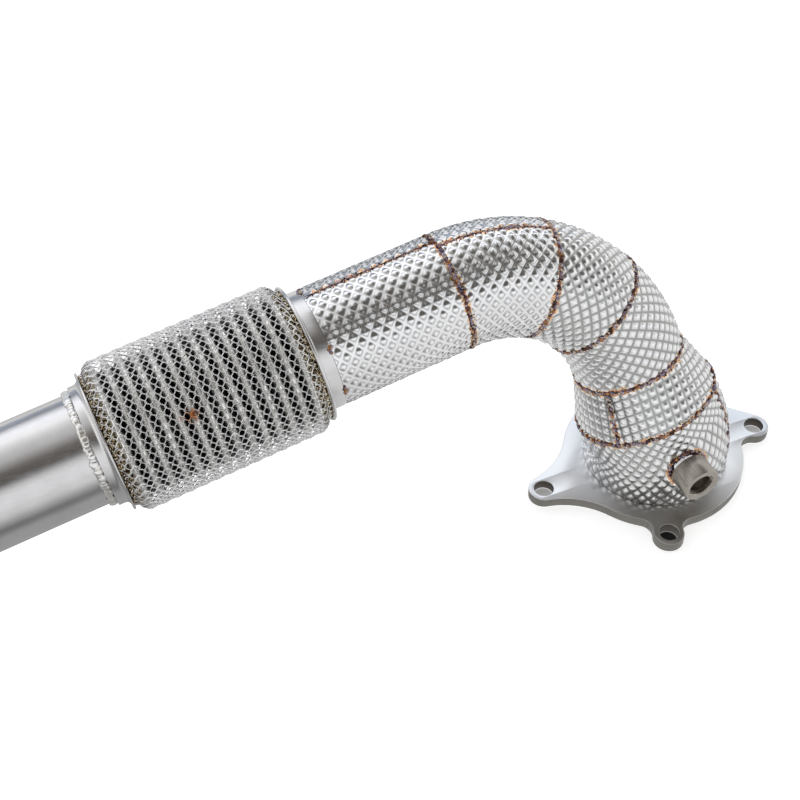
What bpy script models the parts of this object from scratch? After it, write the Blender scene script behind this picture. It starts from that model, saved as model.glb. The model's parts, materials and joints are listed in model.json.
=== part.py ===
"""Stainless turbo downpipe: eared inlet flange, bell-mouthed mandrel elbow under an insulating blanket and a
gored heat shield, oxygen sensor bung, knit-covered flex coupling and plain outlet tube.

Metres, +Z up. The origin is the centre of the flange's mating face. The flange lies flat, the duct rises from
it, leans over and bends into a straight run that heads towards -X and falls slightly.
"""

import math

import bmesh
import bpy
from mathutils import Matrix, Vector
from mathutils.bvhtree import BVHTree

MM = 0.001
CLEARANCE = 0.3 * MM

# Duct and its centre line, in the order in which the gas meets them
PIPE_OD = 76.2 * MM
PIPE_WALL = 1.5 * MM
NECK_OD = 98.0 * MM
NECK_TOP_OD = 96.6 * MM
NECK_RECESS = 1.0 * MM
RISER = 20.9 * MM
LEAN_RADIUS = 57.0 * MM
LEAN_ANGLE = math.radians(26.0)
LEAN_HEADING = math.radians(130.4)
LEAN_STRAIGHT = 69.1 * MM
ELBOW_RADIUS = 1.5 * PIPE_OD
RUN_FALL = math.radians(8.5)
SLEEVE_STRAIGHT = 96.5 * MM
OUTLET_LENGTH = 145.0 * MM

# Inlet flange; each ear is (heading in degrees, reach of its bolt hole, blend radii on its two sides)
FLANGE_THICKNESS = 8.5 * MM
FLANGE_RING_RADIUS = 68.5 * MM
FLANGE_CHAMFER = 0.7 * MM
EAR_RADIUS = 11.6 * MM
BOLT_HOLE_RADIUS = 7.2 * MM
NECKED = 10.0 * MM
WEDGED = 60.0 * MM
STRAIGHT = 400.0 * MM
EARS = (
    (-112.6, 78.5 * MM, (NECKED, NECKED)),
    (-6.6, 84.9 * MM, (NECKED, STRAIGHT)),
    (68.0, 84.0 * MM, (NECKED, NECKED)),
    (178.7, 93.6 * MM, (WEDGED, WEDGED)),
)

# Blanket and heat shield; seams are distances along the centre line from the mating face
BLANKET_ON_NECK = 3.9 * MM
BLANKET_ON_PIPE = 1.8 * MM
SHIELD_SHEET = 0.5 * MM
EMBOSS_HEIGHT = 0.8 * MM
EMBOSS_STEP = 14.0 * MM
EMBOSS_MARGIN = 8.0 * MM
SEAMS = (65.3 * MM, 104.8 * MM, 163.1 * MM, 217.0 * MM, 280.2 * MM)
SHIELD_NAMES = (
    "shield_skirt",
    "shield_flare",
    "shield_gore_1",
    "shield_gore_2",
    "shield_gore_3",
    "shield_sleeve",
)

# Weld beads
SEAM_BEAD_WIDTH = 5.0 * MM
SEAM_BEAD_HEIGHT = 1.3 * MM
LAP_WIDTH = 3.0 * MM
LAP_HEIGHT = 0.7 * MM
FILLET_LEG = 2.6 * MM
OUTLET_BEAD_WIDTH = 6.0 * MM
TACK_LENGTH = 6.0 * MM
TACK_HEIGHT = 1.2 * MM

# Places round the duct, in degrees about the frame that station() gives
SLEEVE_LAP = -5.0
GORE_LAP = -14.0
FLARE_LAP = -141.0
SKIRT_LAP = -39.0
SHIELD_LAPS = {
    "shield_skirt": SKIRT_LAP,
    "shield_flare": FLARE_LAP,
    "shield_gore_3": GORE_LAP,
    "shield_sleeve": SLEEVE_LAP,
}
COLLAR_TACKS = (-112.0, -66.0, 8.0)

# Oxygen sensor bung, level and pointing to -Y
BUNG_OD = 28.5 * MM
BUNG_BORE = 16.6 * MM
BUNG_MOUTH = 20.8 * MM
BUNG_CHAMFER = 1.0 * MM
BUNG_SIDE = -6.0 * MM
BUNG_HEIGHT = 45.0 * MM
BUNG_STAND_OUT = 20.0 * MM
BUNG_BLANK = 42.0 * MM

# Flex coupling, along its own axis from the front lip to the rear lip
FLEX_LENGTH = 143.0 * MM
LIP_OD = 96.4 * MM
COLLAR_WALL = 3.2 * MM
FRONT_BAND = 10.4 * MM
FRONT_LIP_THICKNESS = 2.6 * MM
FRONT_FLARE = 1.4 * MM
REAR_BAND = 8.3 * MM
REAR_LIP_THICKNESS = 1.6 * MM
REAR_FLARE = 3.4 * MM
COVER_OD = 105.8 * MM
COVER_WALL = 1.0 * MM
COVER_RIDGE = 0.8 * MM
CREST_CLEARANCE = 0.7 * MM
SHOULDER_LENGTH = 13.0 * MM
SHOULDER_DROP = 5.2 * MM
HEM_WIDTH = 5.4 * MM
HEM_THICKNESS = 4.0 * MM
CONVOLUTION_PITCH = 9.46 * MM
PLAIN_END = 9.5 * MM
KNIT_GAP_LENGTH = 3.8 * MM
BELLOWS_DEPTH = 8.2 * MM
BELLOWS_WALL = 0.6 * MM
LINER_WALL = 1.2 * MM
LINER_RIB = 0.8 * MM
LINER_RIBS = 2

# Facets
DUCT_SIDES = 24
BLANKET_SIDES = 12
KNIT_SIDES = 21
KNIT_SIDES_PER_GAP = 3
BELLOWS_SIDES = 16
HOLE_SIDES = 16
ARC_STEP = math.radians(12)

# Worked out from the values above
PIPE_R = PIPE_OD / 2
HEADING_Z = Vector((math.cos(LEAN_HEADING), math.sin(LEAN_HEADING), 0))
UP = Vector((0, 0, 1))
LEAN = HEADING_Z * math.sin(LEAN_ANGLE) + UP * math.cos(LEAN_ANGLE)
RUN = Vector((-math.cos(RUN_FALL), 0, -math.sin(RUN_FALL)))
ELBOW_ANGLE = LEAN.angle(RUN)
LEAN_START = RISER
LEAN_END = LEAN_START + LEAN_RADIUS * LEAN_ANGLE
ELBOW_START = LEAN_END + LEAN_STRAIGHT
ELBOW_END = ELBOW_START + ELBOW_RADIUS * ELBOW_ANGLE
SLEEVE_END = ELBOW_END + SLEEVE_STRAIGHT
FRONT_LIP = SLEEVE_END + CLEARANCE + FRONT_BAND
COLLAR_R = PIPE_R + CLEARANCE + COLLAR_WALL
HEM_START = FRONT_LIP_THICKNESS / 2 + CLEARANCE
HEM_END = HEM_START + HEM_WIDTH
CONVOLUTIONS = int((FLEX_LENGTH - 2 * PLAIN_END) / CONVOLUTION_PITCH) + 1


def clear_scene():
    for old in list(bpy.data.objects):
        bpy.data.objects.remove(old, do_unlink=True)


def finish(name, color, metallic, roughness):
    material = bpy.data.materials.new(name)
    material.use_nodes = True
    shader = material.node_tree.nodes["Principled BSDF"]
    shader.inputs["Base Color"].default_value = (*color, 1)
    shader.inputs["Metallic"].default_value = metallic
    shader.inputs["Roughness"].default_value = roughness
    material.diffuse_color = (*color, 1)
    return material


def add_object(name, bm, material, place=Matrix()):
    """Turns the bmesh into a smooth-shaded object whose faces point out."""
    bmesh.ops.recalc_face_normals(bm, faces=bm.faces)
    mesh = bpy.data.meshes.new(name)
    bm.to_mesh(mesh)
    bm.free()
    mesh.shade_smooth()
    mesh.set_sharp_from_angle(angle=math.radians(35))
    mesh.materials.append(material)
    thing = bpy.data.objects.new(name, mesh)
    thing.matrix_world = place
    bpy.context.scene.collection.objects.link(thing)
    return thing


def cut(body, cutter):
    """Takes the cutter out of the body; the cutter stays as a hidden helper."""
    cutter.hide_render = True
    cutter.display_type = "WIRE"
    boolean = body.modifiers.new(cutter.name, "BOOLEAN")
    boolean.operation = "DIFFERENCE"
    boolean.solver = "EXACT"
    boolean.object = cutter


def ring_body(name, rings, material, place=Matrix()):
    """Joins equal rings of points, the last one back to the first, into one closed solid."""
    bm = bmesh.new()
    loops = [[bm.verts.new(point) for point in ring] for ring in rings]
    for here, there in zip(loops, loops[1:] + loops[:1]):
        for i in range(len(here)):
            j = (i + 1) % len(here)
            bm.faces.new((here[i], here[j], there[j], there[i]))
    return add_object(name, bm, material, place)


def circle(radius, height, sides):
    step = math.tau / sides
    return [Vector((radius * math.cos(i * step), radius * math.sin(i * step), height)) for i in range(sides)]


def turned(name, profile, sides, material, place=Matrix()):
    """A closed outline of (radius, height) points spun about Z."""
    bm = bmesh.new()
    outline = [bm.verts.new((radius, 0, height)) for radius, height in profile]
    edges = [bm.edges.new(pair) for pair in zip(outline, outline[1:] + outline[:1])]
    bmesh.ops.spin(bm, geom=edges, axis=UP, cent=(0, 0, 0), angle=math.tau, steps=sides, use_merge=True)
    bmesh.ops.remove_doubles(bm, verts=bm.verts, dist=1e-6)
    return add_object(name, bm, material, place)


def station(distance):
    """The frame at this distance along the centre line: Z follows the duct, X and Y turn with its bends."""
    place = Matrix.Translation(UP * min(distance, LEAN_START))
    for start, end, radius, before, after in (
        (LEAN_START, LEAN_END, LEAN_RADIUS, UP, LEAN),
        (LEAN_END, ELBOW_START, None, LEAN, LEAN),
        (ELBOW_START, ELBOW_END, ELBOW_RADIUS, LEAN, RUN),
        (ELBOW_END, math.inf, None, RUN, RUN),
    ):
        along = min(distance, end) - start
        if along <= 0:
            break
        if radius is None:
            place = Matrix.Translation(before * along) @ place
            continue
        side = (after - before.dot(after) * before).normalized()
        turn = Matrix.Rotation(along / radius, 4, before.cross(after).normalized())
        pivot = place.translation + side * radius
        place = Matrix.Translation(pivot) @ turn @ Matrix.Translation(-pivot) @ place
    return place


def stations_between(start, end):
    """Distances from start to end: the ends, the seams and bend ends between them, and steps round bends."""
    knots = sorted({LEAN_START, LEAN_END, ELBOW_START, ELBOW_END, *SEAMS})
    knots = [start] + [knot for knot in knots if start + 1e-6 < knot < end - 1e-6] + [end]
    found = [start]
    for low, high in zip(knots, knots[1:]):
        middle = (low + high) / 2
        radius = None
        if LEAN_START < middle < LEAN_END:
            radius = LEAN_RADIUS
        if ELBOW_START < middle < ELBOW_END:
            radius = ELBOW_RADIUS
        steps = 1 if radius is None else math.ceil((high - low) / radius / ARC_STEP)
        found += [low + (high - low) * i / steps for i in range(1, steps + 1)]
    return found


def blend(distance, on_neck, neck_top, on_pipe):
    """A value that changes from the flange to the neck's top, then over the cone to the pipe."""
    neck_top_at, cone_end = SEAMS[0], SEAMS[1]
    if distance < neck_top_at:
        return on_neck + (neck_top - on_neck) * distance / neck_top_at
    share = min((distance - neck_top_at) / (cone_end - neck_top_at), 1)
    return neck_top + (on_pipe - neck_top) * share


def duct_radius(distance):
    return blend(distance, NECK_OD / 2, NECK_TOP_OD / 2, PIPE_R)


def duct_bore(distance):
    return duct_radius(distance) - PIPE_WALL


def shield_bore(distance):
    thickness = blend(distance, BLANKET_ON_NECK, BLANKET_ON_NECK, BLANKET_ON_PIPE)
    return duct_radius(distance) + thickness + 2 * CLEARANCE


def shield_radius(distance):
    return shield_bore(distance) + SHIELD_SHEET


def blanket_radius(distance):
    """Clear of the shield's facets, which cut inside its true radius."""
    return shield_bore(distance) * math.cos(math.pi / DUCT_SIDES) - CLEARANCE


def blanket_bore(distance):
    """The blanket has fewer sides than the duct, so its own facets are moved out to clear it."""
    return (duct_radius(distance) + CLEARANCE) / math.cos(math.pi / BLANKET_SIDES)


def swept_shell(name, start, end, outer, inner, sides, material):
    """A tube along the centre line, with radii that may change with the distance."""
    distances = stations_between(start, end)
    rings = [[station(s) @ p for p in circle(outer(s), 0, sides)] for s in distances]
    rings += [[station(s) @ p for p in circle(inner(s), 0, sides)] for s in reversed(distances)]
    return ring_body(name, rings, material)


def loft(name, sections, material):
    """Joins equal sections in turn and closes both ends."""
    bm = bmesh.new()
    loops = [[bm.verts.new(point) for point in section] for section in sections]
    for here, there in zip(loops, loops[1:]):
        for i in range(len(here)):
            j = (i + 1) % len(here)
            bm.faces.new((here[i], here[j], there[j], there[i]))
    bm.faces.new(loops[0])
    bm.faces.new(reversed(loops[-1]))
    return add_object(name, bm, material)


def arc(centre, radius, start, end, steps):
    angles = [start + (end - start) * i / steps for i in range(steps + 1)]
    return [centre + Vector((math.cos(a), math.sin(a), 0)) * radius for a in angles]


def heading(vector):
    return math.atan2(vector.y, vector.x)


def turn_between(start, end, direction):
    """The end angle moved by whole turns so that start to end runs the given way round."""
    while (end - start) * direction < 0:
        end += math.tau * direction
    while (end - start) * direction > math.tau:
        end -= math.tau * direction
    return end


def flange_outline():
    """The ring between the ears, and each ear as an arc about its hole with a hollow blend on both sides."""
    centre = Vector((0, 0, 0))
    ears = []
    for degrees, reach, blends in EARS:
        axis = math.radians(degrees)
        spreads = []
        for blend_radius in blends:
            ring, tip = FLANGE_RING_RADIUS + blend_radius, EAR_RADIUS + blend_radius
            spreads.append(math.acos((ring**2 + reach**2 - tip**2) / (2 * ring * reach)))
        ears.append((axis, reach, blends, spreads))
    outline = []
    for i, (axis, reach, blends, spreads) in enumerate(ears):
        hole = Vector((math.cos(axis), math.sin(axis), 0)) * reach
        for side, blend_radius, spread in zip((-1, 1), blends, spreads):
            towards = axis + side * spread
            pivot = Vector((math.cos(towards), math.sin(towards), 0)) * (FLANGE_RING_RADIUS + blend_radius)
            at_ring, at_ear = heading(-pivot), heading(hole - pivot)
            if side < 0:
                at_ear = turn_between(at_ring, at_ear, -1)
                outline += arc(pivot, blend_radius, at_ring, at_ear, 4)
                ear_start = heading(pivot - hole)
            else:
                ear_end = turn_between(ear_start, heading(pivot - hole), 1)
                outline += arc(hole, EAR_RADIUS, ear_start, ear_end, 9)[1:-1]
                at_ring = turn_between(at_ear, at_ring, -1)
                outline += arc(pivot, blend_radius, at_ear, at_ring, 4)
        next_axis, _, _, next_spreads = ears[(i + 1) % len(ears)]
        start = axis + spreads[1]
        end = turn_between(start, next_axis - next_spreads[0], 1)
        steps = max(2, round((end - start) / math.radians(13)))
        outline += arc(centre, FLANGE_RING_RADIUS, start, end, steps)[1:-1]
    return outline


def cylinder(name, radius, length, place, sides, material):
    bm = bmesh.new()
    bmesh.ops.create_cone(
        bm, cap_ends=True, segments=sides, radius1=radius, radius2=radius, depth=length
    )
    return add_object(name, bm, material, place)


def make_flange(steel):
    bm = bmesh.new()
    face = bm.faces.new([bm.verts.new(point) for point in flange_outline()])
    extruded = bmesh.ops.extrude_face_region(bm, geom=[face])
    raised = [item for item in extruded["geom"] if isinstance(item, bmesh.types.BMVert)]
    bmesh.ops.translate(bm, vec=UP * FLANGE_THICKNESS, verts=raised)
    top_edges = [edge for edge in bm.edges if all(vert in raised for vert in edge.verts)]
    bmesh.ops.bevel(bm, geom=top_edges, offset=FLANGE_CHAMFER, segments=1, affect="EDGES")
    flange = add_object("inlet_flange", bm, steel)
    depth = FLANGE_THICKNESS * 3
    bore_radius = duct_radius(0) + CLEARANCE
    cut(flange, cylinder("flange_bore_cutter", bore_radius, depth, Matrix(), DUCT_SIDES, steel))
    for number, (degrees, reach, _) in enumerate(EARS, 1):
        axis = math.radians(degrees)
        place = Matrix.Translation((reach * math.cos(axis), reach * math.sin(axis), 0))
        cut(flange, cylinder(f"bolt_hole_cutter_{number}", BOLT_HOLE_RADIUS, depth, place, HOLE_SIDES, steel))


def make_duct(steel, weld, blanket):
    """The bell-mouthed neck and cone, the mandrel elbow, the straight pipe and the weld of neck to flange."""
    cone = swept_shell("inlet_cone", NECK_RECESS, SEAMS[1], duct_radius, duct_bore, DUCT_SIDES, steel)
    elbow_start = SEAMS[1] + CLEARANCE
    swept_shell("elbow_pipe", elbow_start, ELBOW_END, duct_radius, duct_bore, DUCT_SIDES, steel)
    run_start, run_end = ELBOW_END + CLEARANCE, FRONT_LIP - FRONT_LIP_THICKNESS
    swept_shell("straight_pipe", run_start, run_end, duct_radius, duct_bore, DUCT_SIDES, steel)
    inner, top = duct_radius(FLANGE_THICKNESS) + CLEARANCE, FLANGE_THICKNESS + CLEARANCE
    fillet = [(inner, top), (inner + FILLET_LEG, top), (inner, top + FILLET_LEG)]
    turned("flange_weld", fillet, DUCT_SIDES, weld)
    blanket_start = top + FILLET_LEG + CLEARANCE
    wrap = swept_shell(
        "insulation_blanket",
        blanket_start,
        SLEEVE_END - CLEARANCE,
        blanket_radius,
        blanket_bore,
        BLANKET_SIDES,
        blanket,
    )
    return cone, wrap


def near_lap(angle, lap):
    """Whether a sheet's corner at this angle belongs to a facet that carries the lap's bead."""
    facet = math.tau / DUCT_SIDES + LAP_WIDTH / PIPE_OD
    return lap is not None and abs(math.remainder(angle - math.radians(lap), math.tau)) < facet


def near_bung(point):
    """Whether the point lies under the bung's bead or beside it, where the sheet is hammered flat."""
    reach = BUNG_OD / 2 + FILLET_LEG + math.tau * NECK_OD / 2 / DUCT_SIDES
    return point.y < 0 and math.hypot(point.x - BUNG_SIDE, point.z - BUNG_HEIGHT) < reach


def embossed_sheet(name, start, end, lap, material):
    """A sheet of the shield, its outside pressed into low pyramids on a diamond lattice.

    The real pattern has about twice as many bumps each way. It fades at the ends, the lap and the bung.
    """
    knots = stations_between(start, end)
    distances = [start]
    outside = [[station(start) @ p for p in circle(shield_radius(start), 0, DUCT_SIDES)]]
    for low, high in zip(knots, knots[1:]):
        first = outside[-1]
        last = [station(high) @ p for p in circle(shield_radius(high), 0, DUCT_SIDES)]
        steps = math.ceil((high - low) / EMBOSS_STEP)
        for i in range(1, steps + 1):
            distances.append(low + (high - low) * i / steps)
            outside.append([a.lerp(b, i / steps) for a, b in zip(first, last)])
    for row, (distance, ring) in enumerate(zip(distances[1:-1], outside[1:-1]), 1):
        if min(distance - start, end - distance) < EMBOSS_MARGIN:
            continue
        centre = station(distance).translation
        for side in range(row % 2, DUCT_SIDES, 2):
            if not near_lap(math.tau * side / DUCT_SIDES, lap) and not near_bung(ring[side]):
                ring[side] += (ring[side] - centre).normalized() * EMBOSS_HEIGHT
    inside = [[station(s) @ p for p in circle(shield_bore(s), 0, DUCT_SIDES)] for s in reversed(knots)]
    sheet = ring_body(name, outside + inside, material)
    split_from_low_corners(sheet, len(outside) - 1)
    return sheet


def split_from_low_corners(sheet, rows):
    """Splits each outer quad between its two low corners, so that every raised corner tops a pyramid."""
    bm = bmesh.new()
    bm.from_mesh(sheet.data)
    bm.verts.ensure_lookup_table()
    for number, quad in enumerate(list(bm.faces)[: rows * DUCT_SIDES]):
        row, side = divmod(number, DUCT_SIDES)
        here, beside = number, row * DUCT_SIDES + (side + 1) % DUCT_SIDES
        low = (beside, here + DUCT_SIDES) if (row + side) % 2 == 0 else (here, beside + DUCT_SIDES)
        bmesh.utils.face_split(quad, bm.verts[low[0]], bm.verts[low[1]])
    bm.to_mesh(sheet.data)
    bm.free()


def make_shield(shield):
    edges = [FLANGE_THICKNESS + CLEARANCE, *SEAMS, SLEEVE_END]
    pieces = []
    for i, name in enumerate(SHIELD_NAMES):
        start = edges[i] + (CLEARANCE / 2 if i else 0)
        end = edges[i + 1] - CLEARANCE / 2
        pieces.append(embossed_sheet(name, start, end, SHIELD_LAPS.get(name), shield))
    return pieces


def make_seam_welds(weld):
    """A low bead round each seam of the shield."""
    half = SEAM_BEAD_WIDTH / 2
    section = [(-half, 0), (-half / 2, SEAM_BEAD_HEIGHT), (half / 2, SEAM_BEAD_HEIGHT), (half, 0)]
    for number, seam in enumerate(SEAMS, 1):
        rings = []
        knee = [(0, 0)] if number == 1 else []
        for along, height in section + knee:
            distance = seam + along
            radius = shield_radius(distance) + CLEARANCE + height
            rings.append([station(distance) @ p for p in circle(radius, 0, DUCT_SIDES)])
        ring_body(f"seam_weld_{number}", rings, weld)


def lap_seam(name, start, end, degrees, weld):
    """A narrow bead along the duct, which closes a rolled sheet of the shield."""
    angle = math.radians(degrees)
    sections = []
    for distance in stations_between(start, end):
        low = shield_radius(distance) + CLEARANCE
        half = LAP_WIDTH / 2 / low
        corners = ((low, -half), (low + LAP_HEIGHT, -half / 2), (low + LAP_HEIGHT, half / 2), (low, half))
        frame = station(distance)
        sections.append(
            [frame @ Vector((r * math.cos(angle + a), r * math.sin(angle + a), 0)) for r, a in corners]
        )
    loft(name, sections, weld)


def make_lap_seams(weld):
    """The rolled sheets' own seams, each stopping short of the beads at its ends."""
    clear = SEAM_BEAD_WIDTH / 2 + CLEARANCE
    lap_seam("skirt_lap_seam", FLANGE_THICKNESS + clear, SEAMS[0] - clear, SKIRT_LAP, weld)
    lap_seam("flare_lap_seam", SEAMS[0] + clear, SEAMS[1] - clear, FLARE_LAP, weld)
    lap_seam("gore_lap_seam", SEAMS[3] + clear, SEAMS[4] - clear, GORE_LAP, weld)
    lap_seam("sleeve_lap_seam", SEAMS[4] + clear, SLEEVE_END - clear, SLEEVE_LAP, weld)


def make_collar_tacks(weld):
    """Short tacks that hold the sleeve's end to the front collar."""
    outside = max(COLLAR_R, shield_radius(SLEEVE_END)) + CLEARANCE
    for number, degrees in enumerate(COLLAR_TACKS, 1):
        bm = bmesh.new()
        bmesh.ops.create_icosphere(bm, subdivisions=1, radius=1)
        bmesh.ops.scale(bm, vec=(TACK_HEIGHT / 2, TACK_LENGTH / 2, TACK_LENGTH / 3), verts=bm.verts)
        out = Matrix.Translation((outside + TACK_HEIGHT / 2, 0, 0))
        place = station(SLEEVE_END) @ Matrix.Rotation(math.radians(degrees), 4, "Z") @ out
        add_object(f"collar_tack_{number}", bm, weld, place)


def make_bung(bung_steel, weld, cone, covers):
    """The threaded boss, coped to the neck, the holes that it needs, and its bead on the skirt."""
    mouth = Vector((BUNG_SIDE, -NECK_OD / 2 - BUNG_STAND_OUT, BUNG_HEIGHT))
    place = Matrix.Translation(mouth) @ Matrix.Rotation(math.radians(90), 4, "X")
    outside, bore, lead = BUNG_OD / 2, BUNG_BORE / 2, BUNG_MOUTH / 2
    profile = [
        (bore, -BUNG_BLANK),
        (outside, -BUNG_BLANK),
        (outside, -BUNG_CHAMFER),
        (outside - BUNG_CHAMFER, 0),
        (lead, 0),
        (bore, bore - lead),
    ]
    bung = turned("oxygen_sensor_bung", profile, DUCT_SIDES, bung_steel, place)
    distances = stations_between(LEAN_START / 2, SEAMS[1])
    around_duct = [circle(duct_radius(s) + CLEARANCE, 0, DUCT_SIDES) for s in distances]
    sections = [[station(s) @ p for p in ring] for s, ring in zip(distances, around_duct)]
    cut(bung, loft("bung_coping_cutter", sections, bung_steel))
    drill = cylinder("neck_drill_cutter", bore, BUNG_BLANK * 2, place, DUCT_SIDES, bung_steel)
    cut(cone, drill)
    for cover in covers:
        name = cover.name + "_bung_cutter"
        cut(cover, cylinder(name, outside + CLEARANCE, BUNG_BLANK * 2, place, DUCT_SIDES, bung_steel))
    skirt = covers[-1].data
    wall = BVHTree.FromPolygons([v.co for v in skirt.vertices], [p.vertices for p in skirt.polygons])
    rings = []
    for out, height in ((0, 0), (0, FILLET_LEG), (FILLET_LEG / 2, FILLET_LEG / 2), (FILLET_LEG, 0)):
        ring = []
        for corner in circle(outside + CLEARANCE + out, 0, DUCT_SIDES):
            start = Vector((mouth.x + corner.x, mouth.y * 2, mouth.z + corner.y))
            hit = wall.ray_cast(start, Vector((0, 1, 0)))[0]
            ring.append(Vector((start.x, hit.y - CLEARANCE - height, start.z)))
        rings.append(ring)
    ring_body("bung_weld", rings, weld)


def collar_profile(band, lip, flare):
    """A sleeve that flares into a lip with a rounded rim and runs on a little way under the knit."""
    half, rim, bore = lip / 2, LIP_OD / 2, PIPE_R + CLEARANCE
    return [
        (bore, -band),
        (COLLAR_R, -band),
        (COLLAR_R, -half - flare),
        (COLLAR_R + flare / 3, -half - flare / 2.5),
        (COLLAR_R + flare, -half),
        (rim - half, -half),
        (rim, 0),
        (rim - half, half),
        (COLLAR_R, half),
        (COLLAR_R, HEM_END),
        (bore, HEM_END),
    ]


def make_collars(steel):
    front = collar_profile(FRONT_BAND, FRONT_LIP_THICKNESS, FRONT_FLARE)
    turned("flex_front_collar", front, DUCT_SIDES, steel, station(FRONT_LIP))
    rear = collar_profile(REAR_BAND, REAR_LIP_THICKNESS, REAR_FLARE)
    flip = Matrix.Rotation(math.pi, 4, "X")
    turned("flex_rear_collar", rear, DUCT_SIDES, steel, station(FRONT_LIP + FLEX_LENGTH) @ flip)


def cover_radius(height):
    """The cover's outer wall between its ridges: a straight barrel with a rounded shoulder at each end."""
    from_end = min(height, FLEX_LENGTH - height)
    share = max(0, 1 - from_end / SHOULDER_LENGTH)
    return COVER_OD / 2 - SHOULDER_DROP * (1 - math.sqrt(1 - share**2))


def first_convolution():
    return (FLEX_LENGTH - (CONVOLUTIONS - 1) * CONVOLUTION_PITCH) / 2


def make_knit_cover(knit):
    """One ridged wall with a row of gaps in each groove, staggered as the loops of the knit are."""
    ridges = [first_convolution() + i * CONVOLUTION_PITCH for i in range(CONVOLUTIONS)]
    end = HEM_END + CLEARANCE
    outer = [(cover_radius(end) - COVER_RIDGE, end)]
    inner = [(cover_radius(end) - COVER_RIDGE - COVER_WALL, end)]
    gap_rows = []
    for ridge in ridges:
        outer.append((cover_radius(ridge), ridge))
        if ridge == ridges[-1]:
            break
        groove = ridge + CONVOLUTION_PITCH / 2
        gap_rows.append((len(outer), len(inner)))
        for height in (groove - KNIT_GAP_LENGTH / 2, groove + KNIT_GAP_LENGTH / 2):
            radius = cover_radius(groove) - COVER_RIDGE
            outer.append((radius, height))
            inner.append((radius - COVER_WALL, height))
    outer.append((cover_radius(FLEX_LENGTH - end) - COVER_RIDGE, FLEX_LENGTH - end))
    inner.append((outer[-1][0] - COVER_WALL, FLEX_LENGTH - end))
    bm = bmesh.new()
    outside = [[bm.verts.new(p) for p in circle(r, h, KNIT_SIDES)] for r, h in outer]
    inside = [[bm.verts.new(p) for p in circle(r, h, KNIT_SIDES)] for r, h in inner]
    outer_rows = {row[0]: number for number, row in enumerate(gap_rows)}
    inner_rows = {row[1]: number for number, row in enumerate(gap_rows)}

    def is_gap(rows, row, side):
        return row in rows and (side + rows[row]) % KNIT_SIDES_PER_GAP == 0

    for wall, rows in ((outside, outer_rows), (inside, inner_rows)):
        for row in range(len(wall) - 1):
            for i in range(KNIT_SIDES):
                if not is_gap(rows, row, i):
                    j = (i + 1) % KNIT_SIDES
                    bm.faces.new((wall[row][i], wall[row][j], wall[row + 1][j], wall[row + 1][i]))
    for i in range(KNIT_SIDES):
        j = (i + 1) % KNIT_SIDES
        for row in (0, -1):
            bm.faces.new((outside[row][i], outside[row][j], inside[row][j], inside[row][i]))
        for a, b in gap_rows:
            if is_gap(outer_rows, a, i):
                out = (outside[a][i], outside[a][j], outside[a + 1][j], outside[a + 1][i])
                into = (inside[b][i], inside[b][j], inside[b + 1][j], inside[b + 1][i])
                for k in range(4):
                    n = (k + 1) % 4
                    bm.faces.new((out[k], out[n], into[n], into[k]))
    add_object("flex_knit_cover", bm, knit, station(FRONT_LIP))


def make_hems(knit):
    """The doubled, clamped end of the knit beside each lip."""
    inner = COLLAR_R + CLEARANCE
    outer = inner + HEM_THICKNESS
    profile = [
        (inner, HEM_START),
        (outer - HEM_THICKNESS / 4, HEM_START),
        (outer, HEM_END),
        (inner, HEM_END),
    ]
    turned("front_knit_hem", profile, DUCT_SIDES, knit, station(FRONT_LIP))
    flip = Matrix.Rotation(math.pi, 4, "X")
    turned("rear_knit_hem", profile, DUCT_SIDES, knit, station(FRONT_LIP + FLEX_LENGTH) @ flip)


def make_bellows(steel):
    """A thin corrugated tube whose crests carry the cover."""
    crest = (COVER_OD / 2 - COVER_RIDGE - COVER_WALL) * math.cos(math.pi / KNIT_SIDES) - CREST_CLEARANCE
    root = crest - BELLOWS_DEPTH
    start = HEM_END + CLEARANCE
    outer, inner = [(root, start)], [(root - BELLOWS_WALL, start)]
    for i in range(CONVOLUTIONS):
        middle = first_convolution() + i * CONVOLUTION_PITCH
        outer.append((crest, middle))
        inner.append((crest - BELLOWS_WALL * 2, middle))
        if i < CONVOLUTIONS - 1:
            outer.append((root, middle + CONVOLUTION_PITCH / 2))
            inner.append((root - BELLOWS_WALL * 2, middle + CONVOLUTION_PITCH / 2))
    outer.append((root, FLEX_LENGTH - start))
    inner.append((root - BELLOWS_WALL, FLEX_LENGTH - start))
    turned("flex_bellows", outer + inner[::-1], BELLOWS_SIDES, steel, station(FRONT_LIP))


def make_liner(steel):
    """The interlocked hose inside the bellows, with its overlaps as low ribs."""
    start = CLEARANCE - FRONT_LIP_THICKNESS
    end = FLEX_LENGTH + REAR_LIP_THICKNESS
    outside = PIPE_R
    clear = HEM_END + FRONT_LIP_THICKNESS
    outer = [(outside, start)]
    rib_pitch = (end - start - 2 * clear) / LINER_RIBS
    for i in range(LINER_RIBS):
        low = start + clear + i * rib_pitch
        outer += [(outside, low + rib_pitch / 4), (outside + LINER_RIB, low + rib_pitch / 2)]
        outer.append((outside, low + rib_pitch * 3 / 4))
    outer.append((outside, end))
    inner = [(outside - LINER_WALL, end), (outside - LINER_WALL, start)]
    turned("flex_liner", outer + inner, DUCT_SIDES, steel, station(FRONT_LIP))


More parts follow.
